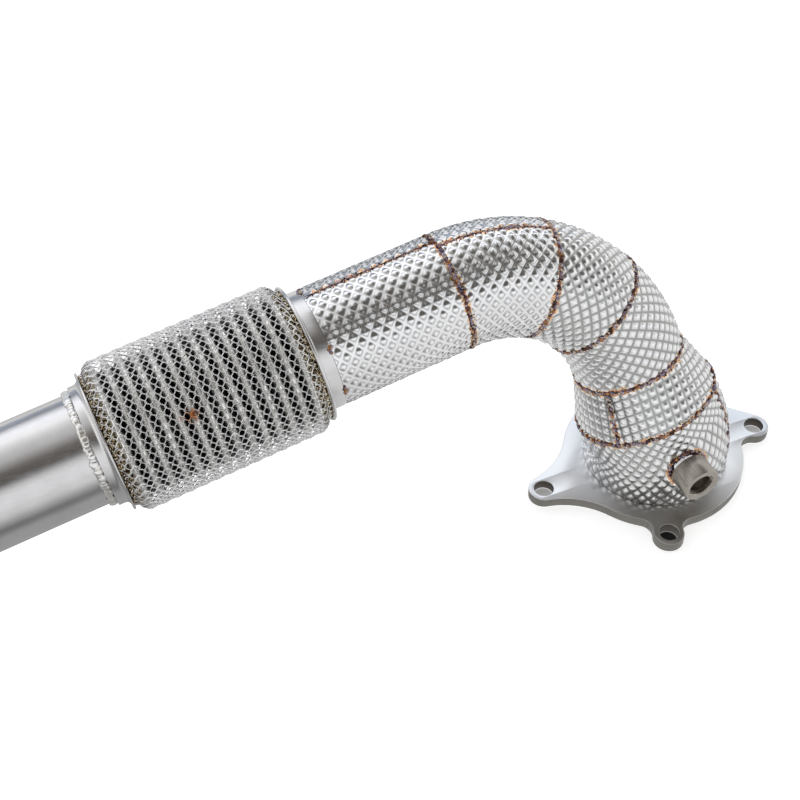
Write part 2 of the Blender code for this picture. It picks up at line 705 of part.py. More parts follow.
def make_outlet(steel, weld):
    """The plain tube behind the coupling and the heavy bead that joins them."""
    rear = station(FRONT_LIP + FLEX_LENGTH)
    start, end = REAR_LIP_THICKNESS + CLEARANCE, OUTLET_LENGTH
    profile = [(PIPE_R - PIPE_WALL, start), (PIPE_R, start), (PIPE_R, end), (PIPE_R - PIPE_WALL, end)]
    turned("outlet_tube", profile, DUCT_SIDES, steel, rear)
    low, at = PIPE_R + CLEARANCE, REAR_BAND + CLEARANCE
    bead = [
        (low, at),
        (COLLAR_R, at),
        (COLLAR_R, at + OUTLET_BEAD_WIDTH * 0.4),
        (low + COLLAR_WALL * 0.4, at + OUTLET_BEAD_WIDTH * 0.85),
        (low, at + OUTLET_BEAD_WIDTH),
    ]
    turned("outlet_weld", bead, DUCT_SIDES, weld, rear)


def main():
    clear_scene()
    flange_steel = finish("satin_flange_steel", (0.50, 0.52, 0.56), 1.0, 0.42)
    tube_steel = finish("brushed_tube_steel", (0.60, 0.60, 0.61), 1.0, 0.32)
    shield_steel = finish("embossed_shield_steel", (0.66, 0.66, 0.67), 1.0, 0.34)
    knit_steel = finish("knitted_wire", (0.55, 0.55, 0.56), 1.0, 0.40)
    hem_steel = finish("tinted_wire_hem", (0.42, 0.37, 0.28), 1.0, 0.45)
    dark_steel = finish("bellows_steel", (0.50, 0.50, 0.50), 1.0, 0.35)
    bung_steel = finish("turned_bung_steel", (0.36, 0.34, 0.31), 1.0, 0.38)
    tinted_weld = finish("heat_tinted_weld", (0.45, 0.33, 0.24), 1.0, 0.40)
    bright_weld = finish("bright_weld", (0.58, 0.56, 0.52), 1.0, 0.38)
    fibre = finish("ceramic_fibre", (0.78, 0.76, 0.70), 0.0, 0.95)

    make_flange(flange_steel)
    cone, wrap = make_duct(tube_steel, bright_weld, fibre)
    shield = make_shield(shield_steel)
    make_bung(bung_steel, tinted_weld, cone, (wrap, shield[0]))
    make_seam_welds(tinted_weld)
    make_lap_seams(tinted_weld)
    make_collar_tacks(tinted_weld)
    make_collars(tube_steel)
    make_knit_cover(knit_steel)
    make_hems(hem_steel)
    make_bellows(dark_steel)
    make_liner(dark_steel)
    make_outlet(tube_steel, bright_weld)


main()
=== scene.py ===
# %% [markdown]
# # Turbo downpipe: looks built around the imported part
#
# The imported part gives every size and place. This script puts smooth, finely worked pieces over its plain
# solids: the embossed heat shield with its tinted weld seams, the knitted flex cover, the turned collars,
# the plain tube and the satin flange. Each step first says what the piece is on the real object.

import contextlib
import json
import math

import bmesh
import bpy
import numpy as np
from mathutils import Matrix, Vector
from mathutils.bvhtree import BVHTree

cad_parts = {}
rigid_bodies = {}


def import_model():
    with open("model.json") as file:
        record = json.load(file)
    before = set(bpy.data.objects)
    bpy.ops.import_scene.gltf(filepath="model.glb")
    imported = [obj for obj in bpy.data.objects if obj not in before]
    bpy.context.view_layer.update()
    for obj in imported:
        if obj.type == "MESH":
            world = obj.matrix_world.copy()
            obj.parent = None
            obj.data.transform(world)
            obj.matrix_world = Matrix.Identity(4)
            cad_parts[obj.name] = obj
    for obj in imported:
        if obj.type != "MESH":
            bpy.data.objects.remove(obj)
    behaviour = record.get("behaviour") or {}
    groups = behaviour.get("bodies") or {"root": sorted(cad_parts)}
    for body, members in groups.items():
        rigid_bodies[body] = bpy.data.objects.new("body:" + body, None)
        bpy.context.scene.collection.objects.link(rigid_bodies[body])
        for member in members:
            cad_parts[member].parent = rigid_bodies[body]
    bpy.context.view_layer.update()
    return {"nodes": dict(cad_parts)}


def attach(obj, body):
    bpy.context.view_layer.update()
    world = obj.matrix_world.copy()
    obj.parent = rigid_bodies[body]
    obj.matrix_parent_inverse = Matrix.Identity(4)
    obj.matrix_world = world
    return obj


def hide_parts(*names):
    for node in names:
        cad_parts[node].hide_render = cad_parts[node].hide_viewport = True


for old in list(bpy.data.objects):
    bpy.data.objects.remove(old)
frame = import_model()
MM = 0.001

# %% [markdown]
# ## The duct's centre line
#
# Everything on this part is threaded on one bent line: a short riser, a lean, the mandrel bend and a
# straight run. The values below are the part's own, and station() walks along the line, so that every piece
# of the scene lands where its solid is.

# %% Sizes that the part also uses
CLEARANCE = 0.3 * MM
PIPE_R = 38.1 * MM
PIPE_WALL = 1.5 * MM
NECK_R = 49.0 * MM
NECK_TOP_R = 48.3 * MM
NECK_RECESS = 1.0 * MM
RISER = 20.9 * MM
LEAN_RADIUS = 57.0 * MM
LEAN_ANGLE = math.radians(26.0)
LEAN_HEADING = math.radians(130.4)
LEAN_STRAIGHT = 69.1 * MM
ELBOW_RADIUS = 114.3 * MM
RUN_FALL = math.radians(8.5)
SLEEVE_STRAIGHT = 96.5 * MM
FLANGE_THICKNESS = 8.5 * MM
SEAMS = (65.3 * MM, 104.8 * MM, 163.1 * MM, 217.0 * MM, 280.2 * MM)
BLANKET_ON_NECK = 3.9 * MM
BLANKET_ON_PIPE = 1.8 * MM
FLEX_LENGTH = 143.0 * MM
OUTLET_LENGTH = 145.0 * MM
FRONT_BAND = 10.4 * MM

UP = Vector((0, 0, 1))
LEAN_SIDE = Vector((math.cos(LEAN_HEADING), math.sin(LEAN_HEADING), 0))
LEAN = LEAN_SIDE * math.sin(LEAN_ANGLE) + UP * math.cos(LEAN_ANGLE)
RUN = Vector((-math.cos(RUN_FALL), 0, -math.sin(RUN_FALL)))
LEAN_END = RISER + LEAN_RADIUS * LEAN_ANGLE
ELBOW_START = LEAN_END + LEAN_STRAIGHT
ELBOW_END = ELBOW_START + ELBOW_RADIUS * LEAN.angle(RUN)
SLEEVE_END = ELBOW_END + SLEEVE_STRAIGHT
FRONT_LIP = SLEEVE_END + CLEARANCE + FRONT_BAND
REAR_LIP = FRONT_LIP + FLEX_LENGTH
TUBE_END = REAR_LIP + OUTLET_LENGTH


# %% Walk along the line
def station(distance):
    """The frame at this distance: Z follows the duct, X and Y turn with its bends."""
    place = Matrix.Translation(UP * min(distance, RISER))
    for start, end, radius, before, after in (
        (RISER, LEAN_END, LEAN_RADIUS, UP, LEAN),
        (LEAN_END, ELBOW_START, None, LEAN, LEAN),
        (ELBOW_START, ELBOW_END, ELBOW_RADIUS, LEAN, RUN),
        (ELBOW_END, math.inf, None, RUN, RUN),
    ):
        along = min(distance, end) - start
        if along <= 0:
            break
        if radius is None:
            place = Matrix.Translation(before * along) @ place
            continue
        side = (after - before.dot(after) * before).normalized()
        turn = Matrix.Rotation(along / radius, 4, before.cross(after).normalized())
        pivot = place.translation + side * radius
        place = Matrix.Translation(pivot) @ turn @ Matrix.Translation(-pivot) @ place
    return place


STATION_STEP = 0.5 * MM
LINE_AT = np.arange(0, TUBE_END + MM, STATION_STEP)
LINE = np.array([station(float(distance)) for distance in LINE_AT])[:, :3, :]
print(f"centre line: {LINE_AT[-1]:.3f} m in {len(LINE_AT)} stations")


# %% Points on the duct's surface
def on_duct(distances, angles, radii):
    """Points at these distances, angles and radii, and the directions that point straight out there."""
    columns = [np.interp(distances, LINE_AT, LINE[:, row, col]) for col in (0, 1, 3) for row in range(3)]
    side, across, origin = np.array(columns).reshape(3, 3, -1).transpose(0, 2, 1)
    out = np.cos(angles)[:, None] * side + np.sin(angles)[:, None] * across
    return origin + out * np.asarray(radii)[:, None], out


def duct_radius(distances):
    """The tube's outside: nearly straight up the neck, then a cone down to the pipe."""
    return np.interp(distances, [0, SEAMS[0], SEAMS[1]], [NECK_R, NECK_TOP_R, PIPE_R])


SHEET_RISE = 1.0 * MM


def sheet_radius(distances):
    """The heat shield's ground: the tube, its blanket and the sheet with its slack."""
    thicknesses = [BLANKET_ON_NECK, BLANKET_ON_NECK, BLANKET_ON_PIPE]
    return duct_radius(distances) + np.interp(distances, [0, SEAMS[0], SEAMS[1]], thicknesses) + SHEET_RISE


# %% [markdown]
# ## Small tools for node trees
#
# A Tree adds nodes by their short names and fills their inputs in order. It gives back a Term, the node's
# output, which plain arithmetic can use: each operator adds one Math node, so a formula reads like a
# formula.

# %% Terms
KINDS = {"GEOMETRY": ("GeometryNode", "FunctionNode", "ShaderNode"), "SHADER": ("ShaderNode",)}
SORTS = {float: "Float", int: "Int", tuple: "Vector"}


def rgba(color):
    """A colour with its alpha. A single number is a grey."""
    return (*color, 1) if isinstance(color, tuple) else (color, color, color, 1)


class Term:
    """A node's output, to be used in formulas."""

    def __init__(self, tree, socket):
        self.tree = tree
        self.socket = socket

    def __getitem__(self, name):
        """Another output of the same node, by its name."""
        return Term(self.tree, self.socket.node.outputs[name])

    def math(self, operation, *others):
        return self.tree.add("Math", self, *others, operation=operation)

    def __add__(self, other):
        return self.math("ADD", other)

    def __sub__(self, other):
        return self.math("SUBTRACT", other)

    def __rsub__(self, other):
        return self.tree.add("Math", other, self, operation="SUBTRACT")

    def __mul__(self, other):
        return self.math("MULTIPLY", other)

    def __truediv__(self, other):
        return self.math("DIVIDE", other)

    def vector(self, operation, *others):
        return self.tree.add("VectorMath", self, *others, operation=operation)

    def remap(self, low, high, start=0.0, end=1.0, smooth=False):
        way = "SMOOTHSTEP" if smooth else "LINEAR"
        return self.tree.add("MapRange", self, low, high, start, end, interpolation_type=way)

    def vary(self, low, high):
        """Spreads a noise's middle range from low to high."""
        return self.remap(0.3, 0.7, low, high)

    def blend(self, first, second):
        """The first colour where this term is 0, the second where it is 1."""
        return self.tree.add("Mix", self, first, second, data_type="RGBA")

    def ramp(self, *stops):
        """A colour ramp through (place, colour) stops."""
        color = self.tree.add("ValToRGB", self)
        elements = color.socket.node.color_ramp.elements
        while len(elements) < len(stops):
            elements.new(0.5)
        for element, (place, shade) in zip(elements, stops):
            element.position = place
            element.color = rgba(shade)
        return color


# %% Trees
class Tree:
    """A node tree in the making."""

    def __init__(self, tree):
        self.tree = tree

    def __getitem__(self, label):
        """One of the group's own inputs."""
        return self.given[label]

    def link(self, term, socket):
        self.tree.links.new(term.socket, socket)

    def fill(self, socket, value):
        if isinstance(value, Term):
            self.link(value, socket)
        elif value is not None:
            socket.default_value = rgba(value) if socket.type == "RGBA" else value

    def add(self, kind, *values, **settings):
        """A node by its short name: settings, then its visible inputs in order, where None skips one."""
        prefix = next(prefix for prefix in KINDS[self.tree.type] if hasattr(bpy.types, prefix + kind))
        node = self.tree.nodes.new(prefix + kind)
        for name, value in settings.items():
            setattr(node, name, value)
        for socket, value in zip([s for s in node.inputs if s.enabled], values):
            self.fill(socket, value)
        return Term(self, next(s for s in node.outputs if s.enabled))

    def split(self, vector):
        parts = self.add("SeparateXYZ", vector)
        return [parts[name] for name in "XYZ"]

    def place(self):
        return self.add("TexCoord")["Object"]

    def read(self, name):
        """A mesh attribute, in a material."""
        return self.add("Attribute", attribute_name=name)["Fac"]

    def stored(self, name, sort="FLOAT"):
        """A mesh attribute, in a Geometry Nodes tree."""
        return self.add("InputNamedAttribute", name, data_type=sort)

    def use(self, effect, **values):
        """One of the shader groups with its own values. Gives its outputs by name."""
        node = self.tree.nodes.new("ShaderNodeGroup")
        node.node_tree = effect.tree
        for label, value in values.items():
            self.fill(node.inputs[label], value)
        return {socket.name: Term(self, socket) for socket in node.outputs}

    def paint(self, color, roughness=None, relief=None):
        """Gives the material's shader a colour, and maybe a roughness and a (height, distance, strength)."""
        shader = self.tree.nodes["Principled BSDF"].inputs
        self.link(color, shader["Base Color"])
        self.fill(shader["Roughness"], roughness)
        if relief:
            height, distance, strength = relief
            bump = self.add("Bump", strength, distance)
            self.link(height, bump.socket.node.inputs["Height"])
            self.link(bump, shader["Normal"])

    def chance(self, low, high, offset):
        """A random number for each item, from the tree's seed and this draw's own offset."""
        return self.add("RandomValue", low, high, None, self["Seed"] + float(offset), data_type="FLOAT")

    def tinted(self, instances):
        """Gives each instance a random tint for its material to read, and makes them all one mesh."""
        tint = self.chance(0.0, 1.0, 4)
        instances = self.add("StoreNamedAttribute", instances, None, "tint", tint, domain="INSTANCE")
        return self.add("SetShadeSmooth", self.add("RealizeInstances", instances))

    def give(self, **results):
        for label, term in results.items():
            self.link(term, self.wanted[label])

    def give_mesh(self, mesh):
        """Ends a Geometry Nodes tree: the mesh takes the tree's finish."""
        self.give(Geometry=self.add("SetMaterial", mesh, None, self["Finish"]))


def new_tree(name, kind, outputs, **inputs):
    """An empty group. An input is given by its default value, or by its kind where it has none."""
    group = bpy.data.node_groups.new(name, kind + "NodeTree")
    for label, value in inputs.items():
        sort = SORTS.get(type(value), value)
        socket = group.interface.new_socket(label, in_out="INPUT", socket_type="NodeSocket" + sort)
        if sort != value:
            socket.default_value = value
    for label, sort in outputs.items():
        group.interface.new_socket(label, in_out="OUTPUT", socket_type="NodeSocket" + sort)
    tree = Tree(group)
    tree.given = {socket.name: Term(tree, socket) for socket in group.nodes.new("NodeGroupInput").outputs}
    tree.wanted = group.nodes.new("NodeGroupOutput").inputs
    return tree


def new_material(name, roughness, metallic=1.0):
    material = bpy.data.materials.new(name)
    material.use_nodes = True
    shader = material.node_tree.nodes["Principled BSDF"].inputs
    shader["Roughness"].default_value = roughness
    shader["Metallic"].default_value = metallic
    return material, Tree(material.node_tree)


MESH_OUT = {"Geometry": "Geometry"}


# %% [markdown]
# ## Small tools for meshes
#
# Pieces are made from arrays of points or grown by a tree, settled into plain meshes, and put in the
# place of the node that they stand for.

# %% Mesh helpers
SHARP_ANGLE = math.radians(32)


@contextlib.contextmanager
def edited(mesh):
    """The mesh as a bmesh, written back at the end."""
    bm = bmesh.new()
    bm.from_mesh(mesh)
    yield bm
    bm.to_mesh(mesh)
    bm.free()


def new_object(name, mesh):
    piece = bpy.data.objects.new(name, mesh)
    bpy.context.scene.collection.objects.link(piece)
    return piece


def mesh_object(name, points, edges=(), faces=(), **attributes):
    """An object from arrays, with one float or vector attribute for each name given."""
    mesh = bpy.data.meshes.new(name)
    mesh.from_pydata(np.asarray(points).tolist(), edges, [list(map(int, face)) for face in faces])
    for label, values in attributes.items():
        values = np.asarray(values, np.float32)
        flat = values.ndim == 1
        attribute = mesh.attributes.new(label, "FLOAT" if flat else "FLOAT_VECTOR", "POINT")
        attribute.data.foreach_set("value" if flat else "vector", values.ravel())
    return new_object(name, mesh)


def evaluated(piece):
    """A mesh of what the object's modifiers make of it."""
    graph = bpy.context.evaluated_depsgraph_get()
    return bpy.data.meshes.new_from_object(piece.evaluated_get(graph))


def settle(piece):
    """Replaces the object's mesh by what its modifiers make of it, and takes the modifiers off."""
    mesh = evaluated(piece)
    piece.modifiers.clear()
    piece.data = mesh
    for index in reversed(range(len(mesh.materials))):
        if mesh.materials[index] is None:
            mesh.materials.pop(index=index)
    mesh.name = piece.name
    return piece


def grow(piece, tree, **values):
    """Runs a Geometry Nodes tree on the object. Each value goes to the tree's input of that name."""
    modifier = piece.modifiers.new(tree.tree.name, "NODES")
    modifier.node_group = tree.tree
    for label, value in values.items():
        modifier[tree.tree.interface.items_tree[label].identifier] = value
    return piece


def hand_in(piece, slot, *nodes):
    """Rides on the one rigid body and stands for these nodes. The slot is not used."""
    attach(piece, "root")
    if nodes:
        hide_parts(*nodes)
    piece.data.calc_loop_triangles()
    print(f"{piece.name}: {len(piece.data.loop_triangles)} triangles")
    return piece


def ring_faces(rows, columns):
    """Quads between rows of equal rings, and from the last row back to the first."""
    here = np.arange(rows * columns).reshape(rows, columns)
    there = np.roll(here, -1, 0)
    return np.stack([here, np.roll(here, -1, 1), np.roll(there, -1, 1), there], -1).reshape(-1, 4)


def outward(piece):
    """Turns all faces out, and keeps steep edges sharp."""
    with edited(piece.data) as bm:
        bmesh.ops.recalc_face_normals(bm, faces=bm.faces)
    piece.data.shade_smooth()
    piece.data.set_sharp_from_angle(angle=SHARP_ANGLE)
    return piece


def turned(name, outline, place, material, edge=0.25 * MM, sides=128):
    """A closed outline of (radius, height) points spun about the frame's Z, with its sharp edges rounded."""
    radii, heights = np.array(outline).T
    angles = np.arange(sides) * math.tau / sides
    ring = np.stack([np.cos(angles), np.sin(angles)], -1)
    flat = radii[:, None, None] * ring[None]
    level = np.broadcast_to(heights[:, None, None], (len(radii), sides, 1))
    matrix = np.array(place)
    points = np.concatenate([flat, level], -1).reshape(-1, 3) @ matrix[:3, :3].T + matrix[:3, 3]
    faces = ring_faces(len(radii), sides)
    piece = outward(mesh_object(name, points, faces=faces, height=np.repeat(heights, sides)))
    if edge:
        bevel = piece.modifiers.new("edge", "BEVEL")
        bevel.width = edge
        bevel.segments = 2
        bevel.limit_method = "ANGLE"
        bevel.angle_limit = SHARP_ANGLE
        outward(settle(piece))
    piece.data.materials.clear()
    piece.data.materials.append(material)
    return piece


# %% [markdown]
# ## Shader groups
#
# Three effects come back in several finishes: fine satin brushing, the temper colours that welding leaves
# on stainless steel, and the one rust spot on the flex cover. Each is a group with named inputs, and gives
# out only colours and values. The shader itself stays in each material.

# %% Satin brushing
SATIN = new_tree(
    "satin_brushing", "Shader", dict(Grain="Float", Cloud="Float", Height="Float"),
    Fine=900.0, Stretch=(1, 1, 1), Depth=0.5,
)
place = SATIN.place()
grain = SATIN.add("TexNoise", place.vector("MULTIPLY", SATIN["Stretch"]), SATIN["Fine"], 3.0, 0.6)
cloud = SATIN.add("TexNoise", place, 35.0, 4.0, 0.6)
SATIN.give(Grain=grain, Cloud=cloud, Height=grain * SATIN["Depth"])

# %% Temper colours, from the outer straw edge to the blue and purple beside the bead
HEAT = new_tree(
    "temper_colours", "Shader", dict(Color="Color", Mask="Float"), Distance=0.01, Reach=0.004, Patch=220.0
)
place = HEAT.place()
patch = HEAT.add("TexNoise", place, HEAT["Patch"], 3.0, 0.65)
slow = HEAT.add("TexNoise", place, 45.0, 2.0, 0.5)
hot = HEAT.add("Clamp", patch * 2.6 + slow * 1.2 - 1.15 - HEAT["Distance"] / HEAT["Reach"])
colors = hot.ramp(
    (0.0, (0.90, 0.86, 0.76)), (0.2, (0.96, 0.76, 0.46)), (0.36, (0.88, 0.48, 0.20)),
    (0.5, (0.50, 0.22, 0.12)), (0.66, (0.36, 0.24, 0.26)), (0.8, (0.42, 0.38, 0.48)),
    (1.0, (0.28, 0.23, 0.25)),
)
HEAT.give(Color=colors, Mask=hot.remap(0.05, 0.35, smooth=True))

# %% A rust spot with a ragged edge
RUST = new_tree("rust_spot", "Shader", dict(Mask="Float"), Centre=(0, 0, 0), Radius=0.005)
place = RUST.place()
ragged = (RUST.add("TexNoise", place, 500.0, 2.0, 0.6) - 0.5) * (6 * MM)
away = place.vector("DISTANCE", RUST["Centre"]) - ragged
RUST.give(Mask=away.remap(RUST["Radius"] * 0.5, RUST["Radius"], 1.0, 0.0))

# %% [markdown]
# ## Plain steel finishes
#
# The tube and its collars are satin stainless: soft, slightly cloudy reflections and faint lines round the
# tube. The bung is turned and browned by the welding heat beside it. The flange is blasted plate of a cold,
# bluish grey, with painted shade: it is painted darker and browner towards the ear nearest the camera, where
# the real plate reflects the dark gap overhead. Its cut edges are dark, and its bolt hole walls darker still
# with painted shade.


# %% Satin steels and the flange
def steel_finish(name, color, dark, roughness, stretch=(1, 1, 1), depth=0.5):
    material, tree = new_material(name, roughness)
    satin = tree.use(SATIN, Stretch=stretch, Depth=depth)
    shade = satin["Cloud"].vary(0.0, 1.0).blend(color, dark)
    roughness = satin["Grain"].vary(roughness - 0.07, roughness + 0.09)
    tree.paint(shade, roughness, (satin["Height"], 0.1 * MM, 0.35))
    return material


TUBE_STEEL = steel_finish(
    "brushed_tube_steel", (0.76, 0.75, 0.75), (0.68, 0.67, 0.67), 0.17, stretch=(0.15, 1, 1), depth=0.25
)
INNER_STEEL = steel_finish("mill_tube_steel", (0.52, 0.51, 0.50), (0.42, 0.41, 0.40), 0.36)
BUNG_STEEL = steel_finish(
    "turned_bung_steel", (0.42, 0.39, 0.35), (0.33, 0.30, 0.26), 0.30, stretch=(1, 0.1, 1)
)
# Painted shade: the bolt hole walls are dark cut edges, painted darker still for the shade in the holes.
HOLE_PAINTED_SHADE_STEEL = steel_finish("bolt_hole_steel", (0.13, 0.12, 0.11), (0.08, 0.07, 0.06), 0.55)
CUT_STEEL = steel_finish(
    "cut_edge_steel", (0.26, 0.25, 0.23), (0.20, 0.19, 0.17), 0.45, stretch=(1, 1, 0.1), depth=0.9
)
FLANGE_STEEL, tree = new_material("blasted_flange_steel", 0.36)
# Painted shade: the flange is painted darker and browner towards this point, by its near ear.
DARKEST_PAINTED_SHADE = (-30 * MM, -72 * MM, FLANGE_THICKNESS)
away_from_painted_shade = tree.place().vector("DISTANCE", DARKEST_PAINTED_SHADE).remap(0.0, 140 * MM)
tree.paint(away_from_painted_shade.ramp(
    (0.12, (0.43, 0.42, 0.40)), (0.28, (0.50, 0.49, 0.47)), (0.44, (0.80, 0.81, 0.83)),
    (0.6, (0.97, 0.99, 1.0)), (0.9, (0.76, 0.79, 0.83)),
))

# %% Ceramic fibre, only seen if the shield is taken off
FIBRE, tree = new_material("ceramic_fibre", 0.95, 0.0)
felt = tree.add("TexNoise", tree.place(), 400.0, 5.0, 0.7)
tree.paint(felt.blend((0.70, 0.67, 0.60), (0.86, 0.84, 0.79)), relief=(felt, 0.6 * MM, 0.8))

# %% [markdown]
# ## Camera and light
#
# The photograph looks down at the part from its near side. It was lit by two long softboxes, one behind the
# part and one in front of it, with a dark gap overhead: that gap is the brown band along the tube. The
# world is painted as these strips, by the direction's angle about the X axis. The back strip fades slowly
# towards the gap on the left and ends sharply on the right. Camera rays see plain white.

# %% Camera
LENS_PIXELS = 1528.4
IMAGE_PIXELS = 800
camera = bpy.data.objects.new("camera", bpy.data.cameras.new("camera"))
camera.data.sensor_width = 36
camera.data.lens = camera.data.sensor_width * LENS_PIXELS / IMAGE_PIXELS
camera.location = (-494.2 * MM, -614.5 * MM, 893.1 * MM)
camera.rotation_euler = (math.radians(42.73), 0, math.radians(-24.59))
bpy.context.scene.collection.objects.link(camera)
bpy.context.scene.camera = camera
bpy.context.scene.view_settings.view_transform = "Standard"

# %% World: each strip is (degrees about X, colour)
BACK_STRIPS = (
    (-180, 0.80), (-90, (0.45, 0.50, 0.58)), (-76, (0.26, 0.29, 0.34)), (-66, (0.86, 0.88, 0.92)),
    (-56, (1.25, 1.28, 1.36)),
)
SOFT_END = (
    (-38, (1.20, 1.20, 1.22)), (-25, (0.89, 0.89, 0.90)), (-13, 0.68), (-1, 0.58), (9, (0.38, 0.37, 0.36)),
    (20, (0.17, 0.16, 0.15)),
)
SHARP_END = (
    (-38, (1.16, 1.20, 1.26)), (-34.5, (1.00, 1.04, 1.10)), (-31, (0.52, 0.50, 0.47)),
    (-20, (0.24, 0.23, 0.22)),
)
FRONT_STRIPS = (
    (34, (0.12, 0.11, 0.10)), (42, 0.20), (51, (0.68, 0.68, 0.69)), (62, (0.94, 0.95, 0.97)),
    (82, (0.94, 0.95, 0.97)), (92, (0.82, 0.82, 0.83)), (180, 0.80),
)
ROOM = 0.95
world = bpy.data.worlds.new("studio")
world.use_nodes = True
bpy.context.scene.world = world
world.node_tree.nodes.clear()
tree = Tree(world.node_tree)
x, y, z = tree.split(tree.add("TexCoord")["Generated"])
turn_share = (y * -1.0).math("ARCTAN2", z).remap(-math.pi, math.pi)
soft, sharp = [
    turn_share.ramp(*[((degrees + 180) / 360, color) for degrees, color in BACK_STRIPS + end + FRONT_STRIPS])
    for end in (SOFT_END, SHARP_END)
]
rightward = x.remap(0.15, 0.38, smooth=True)
beyond = x.math("ABSOLUTE").remap(0.60, 0.82, smooth=True)
strips = beyond.blend(rightward.blend(soft, sharp), ROOM)
seen = tree.add("LightPath")["Is Camera Ray"]
shown = tree.add("Background", seen.blend(strips, 1.0), 1.0)
tree.link(shown, world.node_tree.nodes.new("ShaderNodeOutputWorld").inputs["Surface"])

# %% [markdown]
# ## Smooth plain pieces
#
# The tube, the neck and the mandrel bend are thin shells that follow the centre line. Rings of points on
# the line, joined outside and inside, make them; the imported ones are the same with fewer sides.


# %% Swept shells
def swept(name, start, end, sides=96, step=2.5 * MM):
    """A tube wall along the line from start to end."""
    distances = np.linspace(start, end, max(2, round((end - start) / step) + 1))
    angles = np.tile(np.arange(sides) * math.tau / sides, len(distances))
    walls = []
    for depth, order in ((0, 1), (PIPE_WALL, -1)):
        rows = np.repeat(distances[::order], sides)
        walls.append(on_duct(rows, angles, duct_radius(rows) - depth)[0])
    piece = mesh_object(name, np.concatenate(walls), faces=ring_faces(len(distances) * 2, sides))
    piece.data.materials.append(INNER_STEEL)
    return outward(piece)


def bore_through(piece, radius, place, length):
    """Drills a round hole through the piece."""
    drill = new_object("drill", bpy.data.meshes.new("drill"))
    with edited(drill.data) as bm:
        bmesh.ops.create_cone(bm, cap_ends=True, segments=64, radius1=radius, radius2=radius, depth=length)
    drill.matrix_world = place
    boolean = piece.modifiers.new("drill", "BOOLEAN")
    boolean.object = drill
    settle(piece)
    bpy.data.objects.remove(drill)


BUNG_R = 14.25 * MM
BUNG_BORE_R = 8.3 * MM
BUNG_MOUTH_R = 10.4 * MM
BUNG_STAND_OUT = 20.0 * MM
BUNG_PLACE = Matrix.Translation((-6.0 * MM, -NECK_R - BUNG_STAND_OUT, 45.0 * MM)) @ Matrix.Rotation(
    math.radians(90), 4, "X"
)
RUN_STOP = 2.6 * MM
RUN_END = FRONT_LIP - RUN_STOP
cone = swept("smooth_inlet_cone", NECK_RECESS, SEAMS[1])
bore_through(cone, BUNG_BORE_R, BUNG_PLACE, 80 * MM)
hand_in(outward(cone), "tube_steel", "inlet_cone")
hand_in(swept("smooth_elbow_pipe", SEAMS[1] + CLEARANCE, ELBOW_END), "tube_steel", "elbow_pipe")
hand_in(swept("smooth_straight_pipe", ELBOW_END + CLEARANCE, RUN_END), "tube_steel", "straight_pipe")

# %% [markdown]
# ## Inlet flange
#
# A plate cut to a round ring with four ears of different reach. Each ear is an arc about its bolt hole that
# runs into the ring through a hollow blend, so the outline is worked out from the hole places alone. A flat
# curve with an extrusion and a small bevel makes the plate, and its inner splines become the holes.

# %% Flange outline: each ear is (degrees, reach, blend radii before and after it)
RING_RADIUS = 68.5 * MM
EAR_RADIUS = 11.4 * MM
BOLT_HOLE_RADIUS = 7.2 * MM
NECKED = 10.0 * MM
WEDGED = 60.0 * MM
STRAIGHT = 400.0 * MM
EARS = (
    (-112.6, 78.5 * MM, (NECKED, NECKED)),
    (-6.6, 84.9 * MM, (NECKED, STRAIGHT)),
    (68.0, 84.0 * MM, (NECKED, NECKED)),
    (178.7, 93.6 * MM, (WEDGED, WEDGED)),
)


def polar(radius, angle):
    return Vector((radius * math.cos(angle), radius * math.sin(angle), 0))


def arc(centre, radius, start, end):
    steps = max(2, math.ceil(abs(end - start) / math.radians(4)))
    return [centre + polar(radius, start + (end - start) * i / steps) for i in range(steps + 1)]


def circle(centre, radius):
    return arc(centre, radius, 0, math.tau)[:-1]


def flange_outline():
    outline = []
    ears = []
    for degrees, reach, blends in EARS:
        rings = [RING_RADIUS + blend for blend in blends]
        tips = [EAR_RADIUS + blend for blend in blends]
        spreads = [math.acos((r**2 + reach**2 - t**2) / (2 * r * reach)) for r, t in zip(rings, tips)]
        ears.append((math.radians(degrees), reach, blends, spreads))
    for number, (axis, reach, blends, spreads) in enumerate(ears):
        hole = polar(reach, axis)
        pivots = [polar(RING_RADIUS + b, axis + side * a) for side, b, a in zip((-1, 1), blends, spreads)]
        to_ring = [math.atan2(-pivot.y, -pivot.x) for pivot in pivots]
        to_ear = [math.atan2(hole.y - pivot.y, hole.x - pivot.x) for pivot in pivots]
        start, end = [angle + math.pi for angle in to_ear]
        outline += arc(pivots[0], blends[0], to_ring[0], to_ring[0] + (to_ear[0] - to_ring[0]) % -math.tau)
        outline += arc(hole, EAR_RADIUS, start, start + (end - start) % math.tau)[1:-1]
        outline += arc(pivots[1], blends[1], to_ear[1], to_ear[1] + (to_ring[1] - to_ear[1]) % -math.tau)
        ahead = ears[(number + 1) % len(ears)]
        start = axis + spreads[1]
        end = ahead[0] - ahead[3][0]
        outline += arc(Vector(), RING_RADIUS, start, start + (end - start) % math.tau)[1:-1]
    return outline


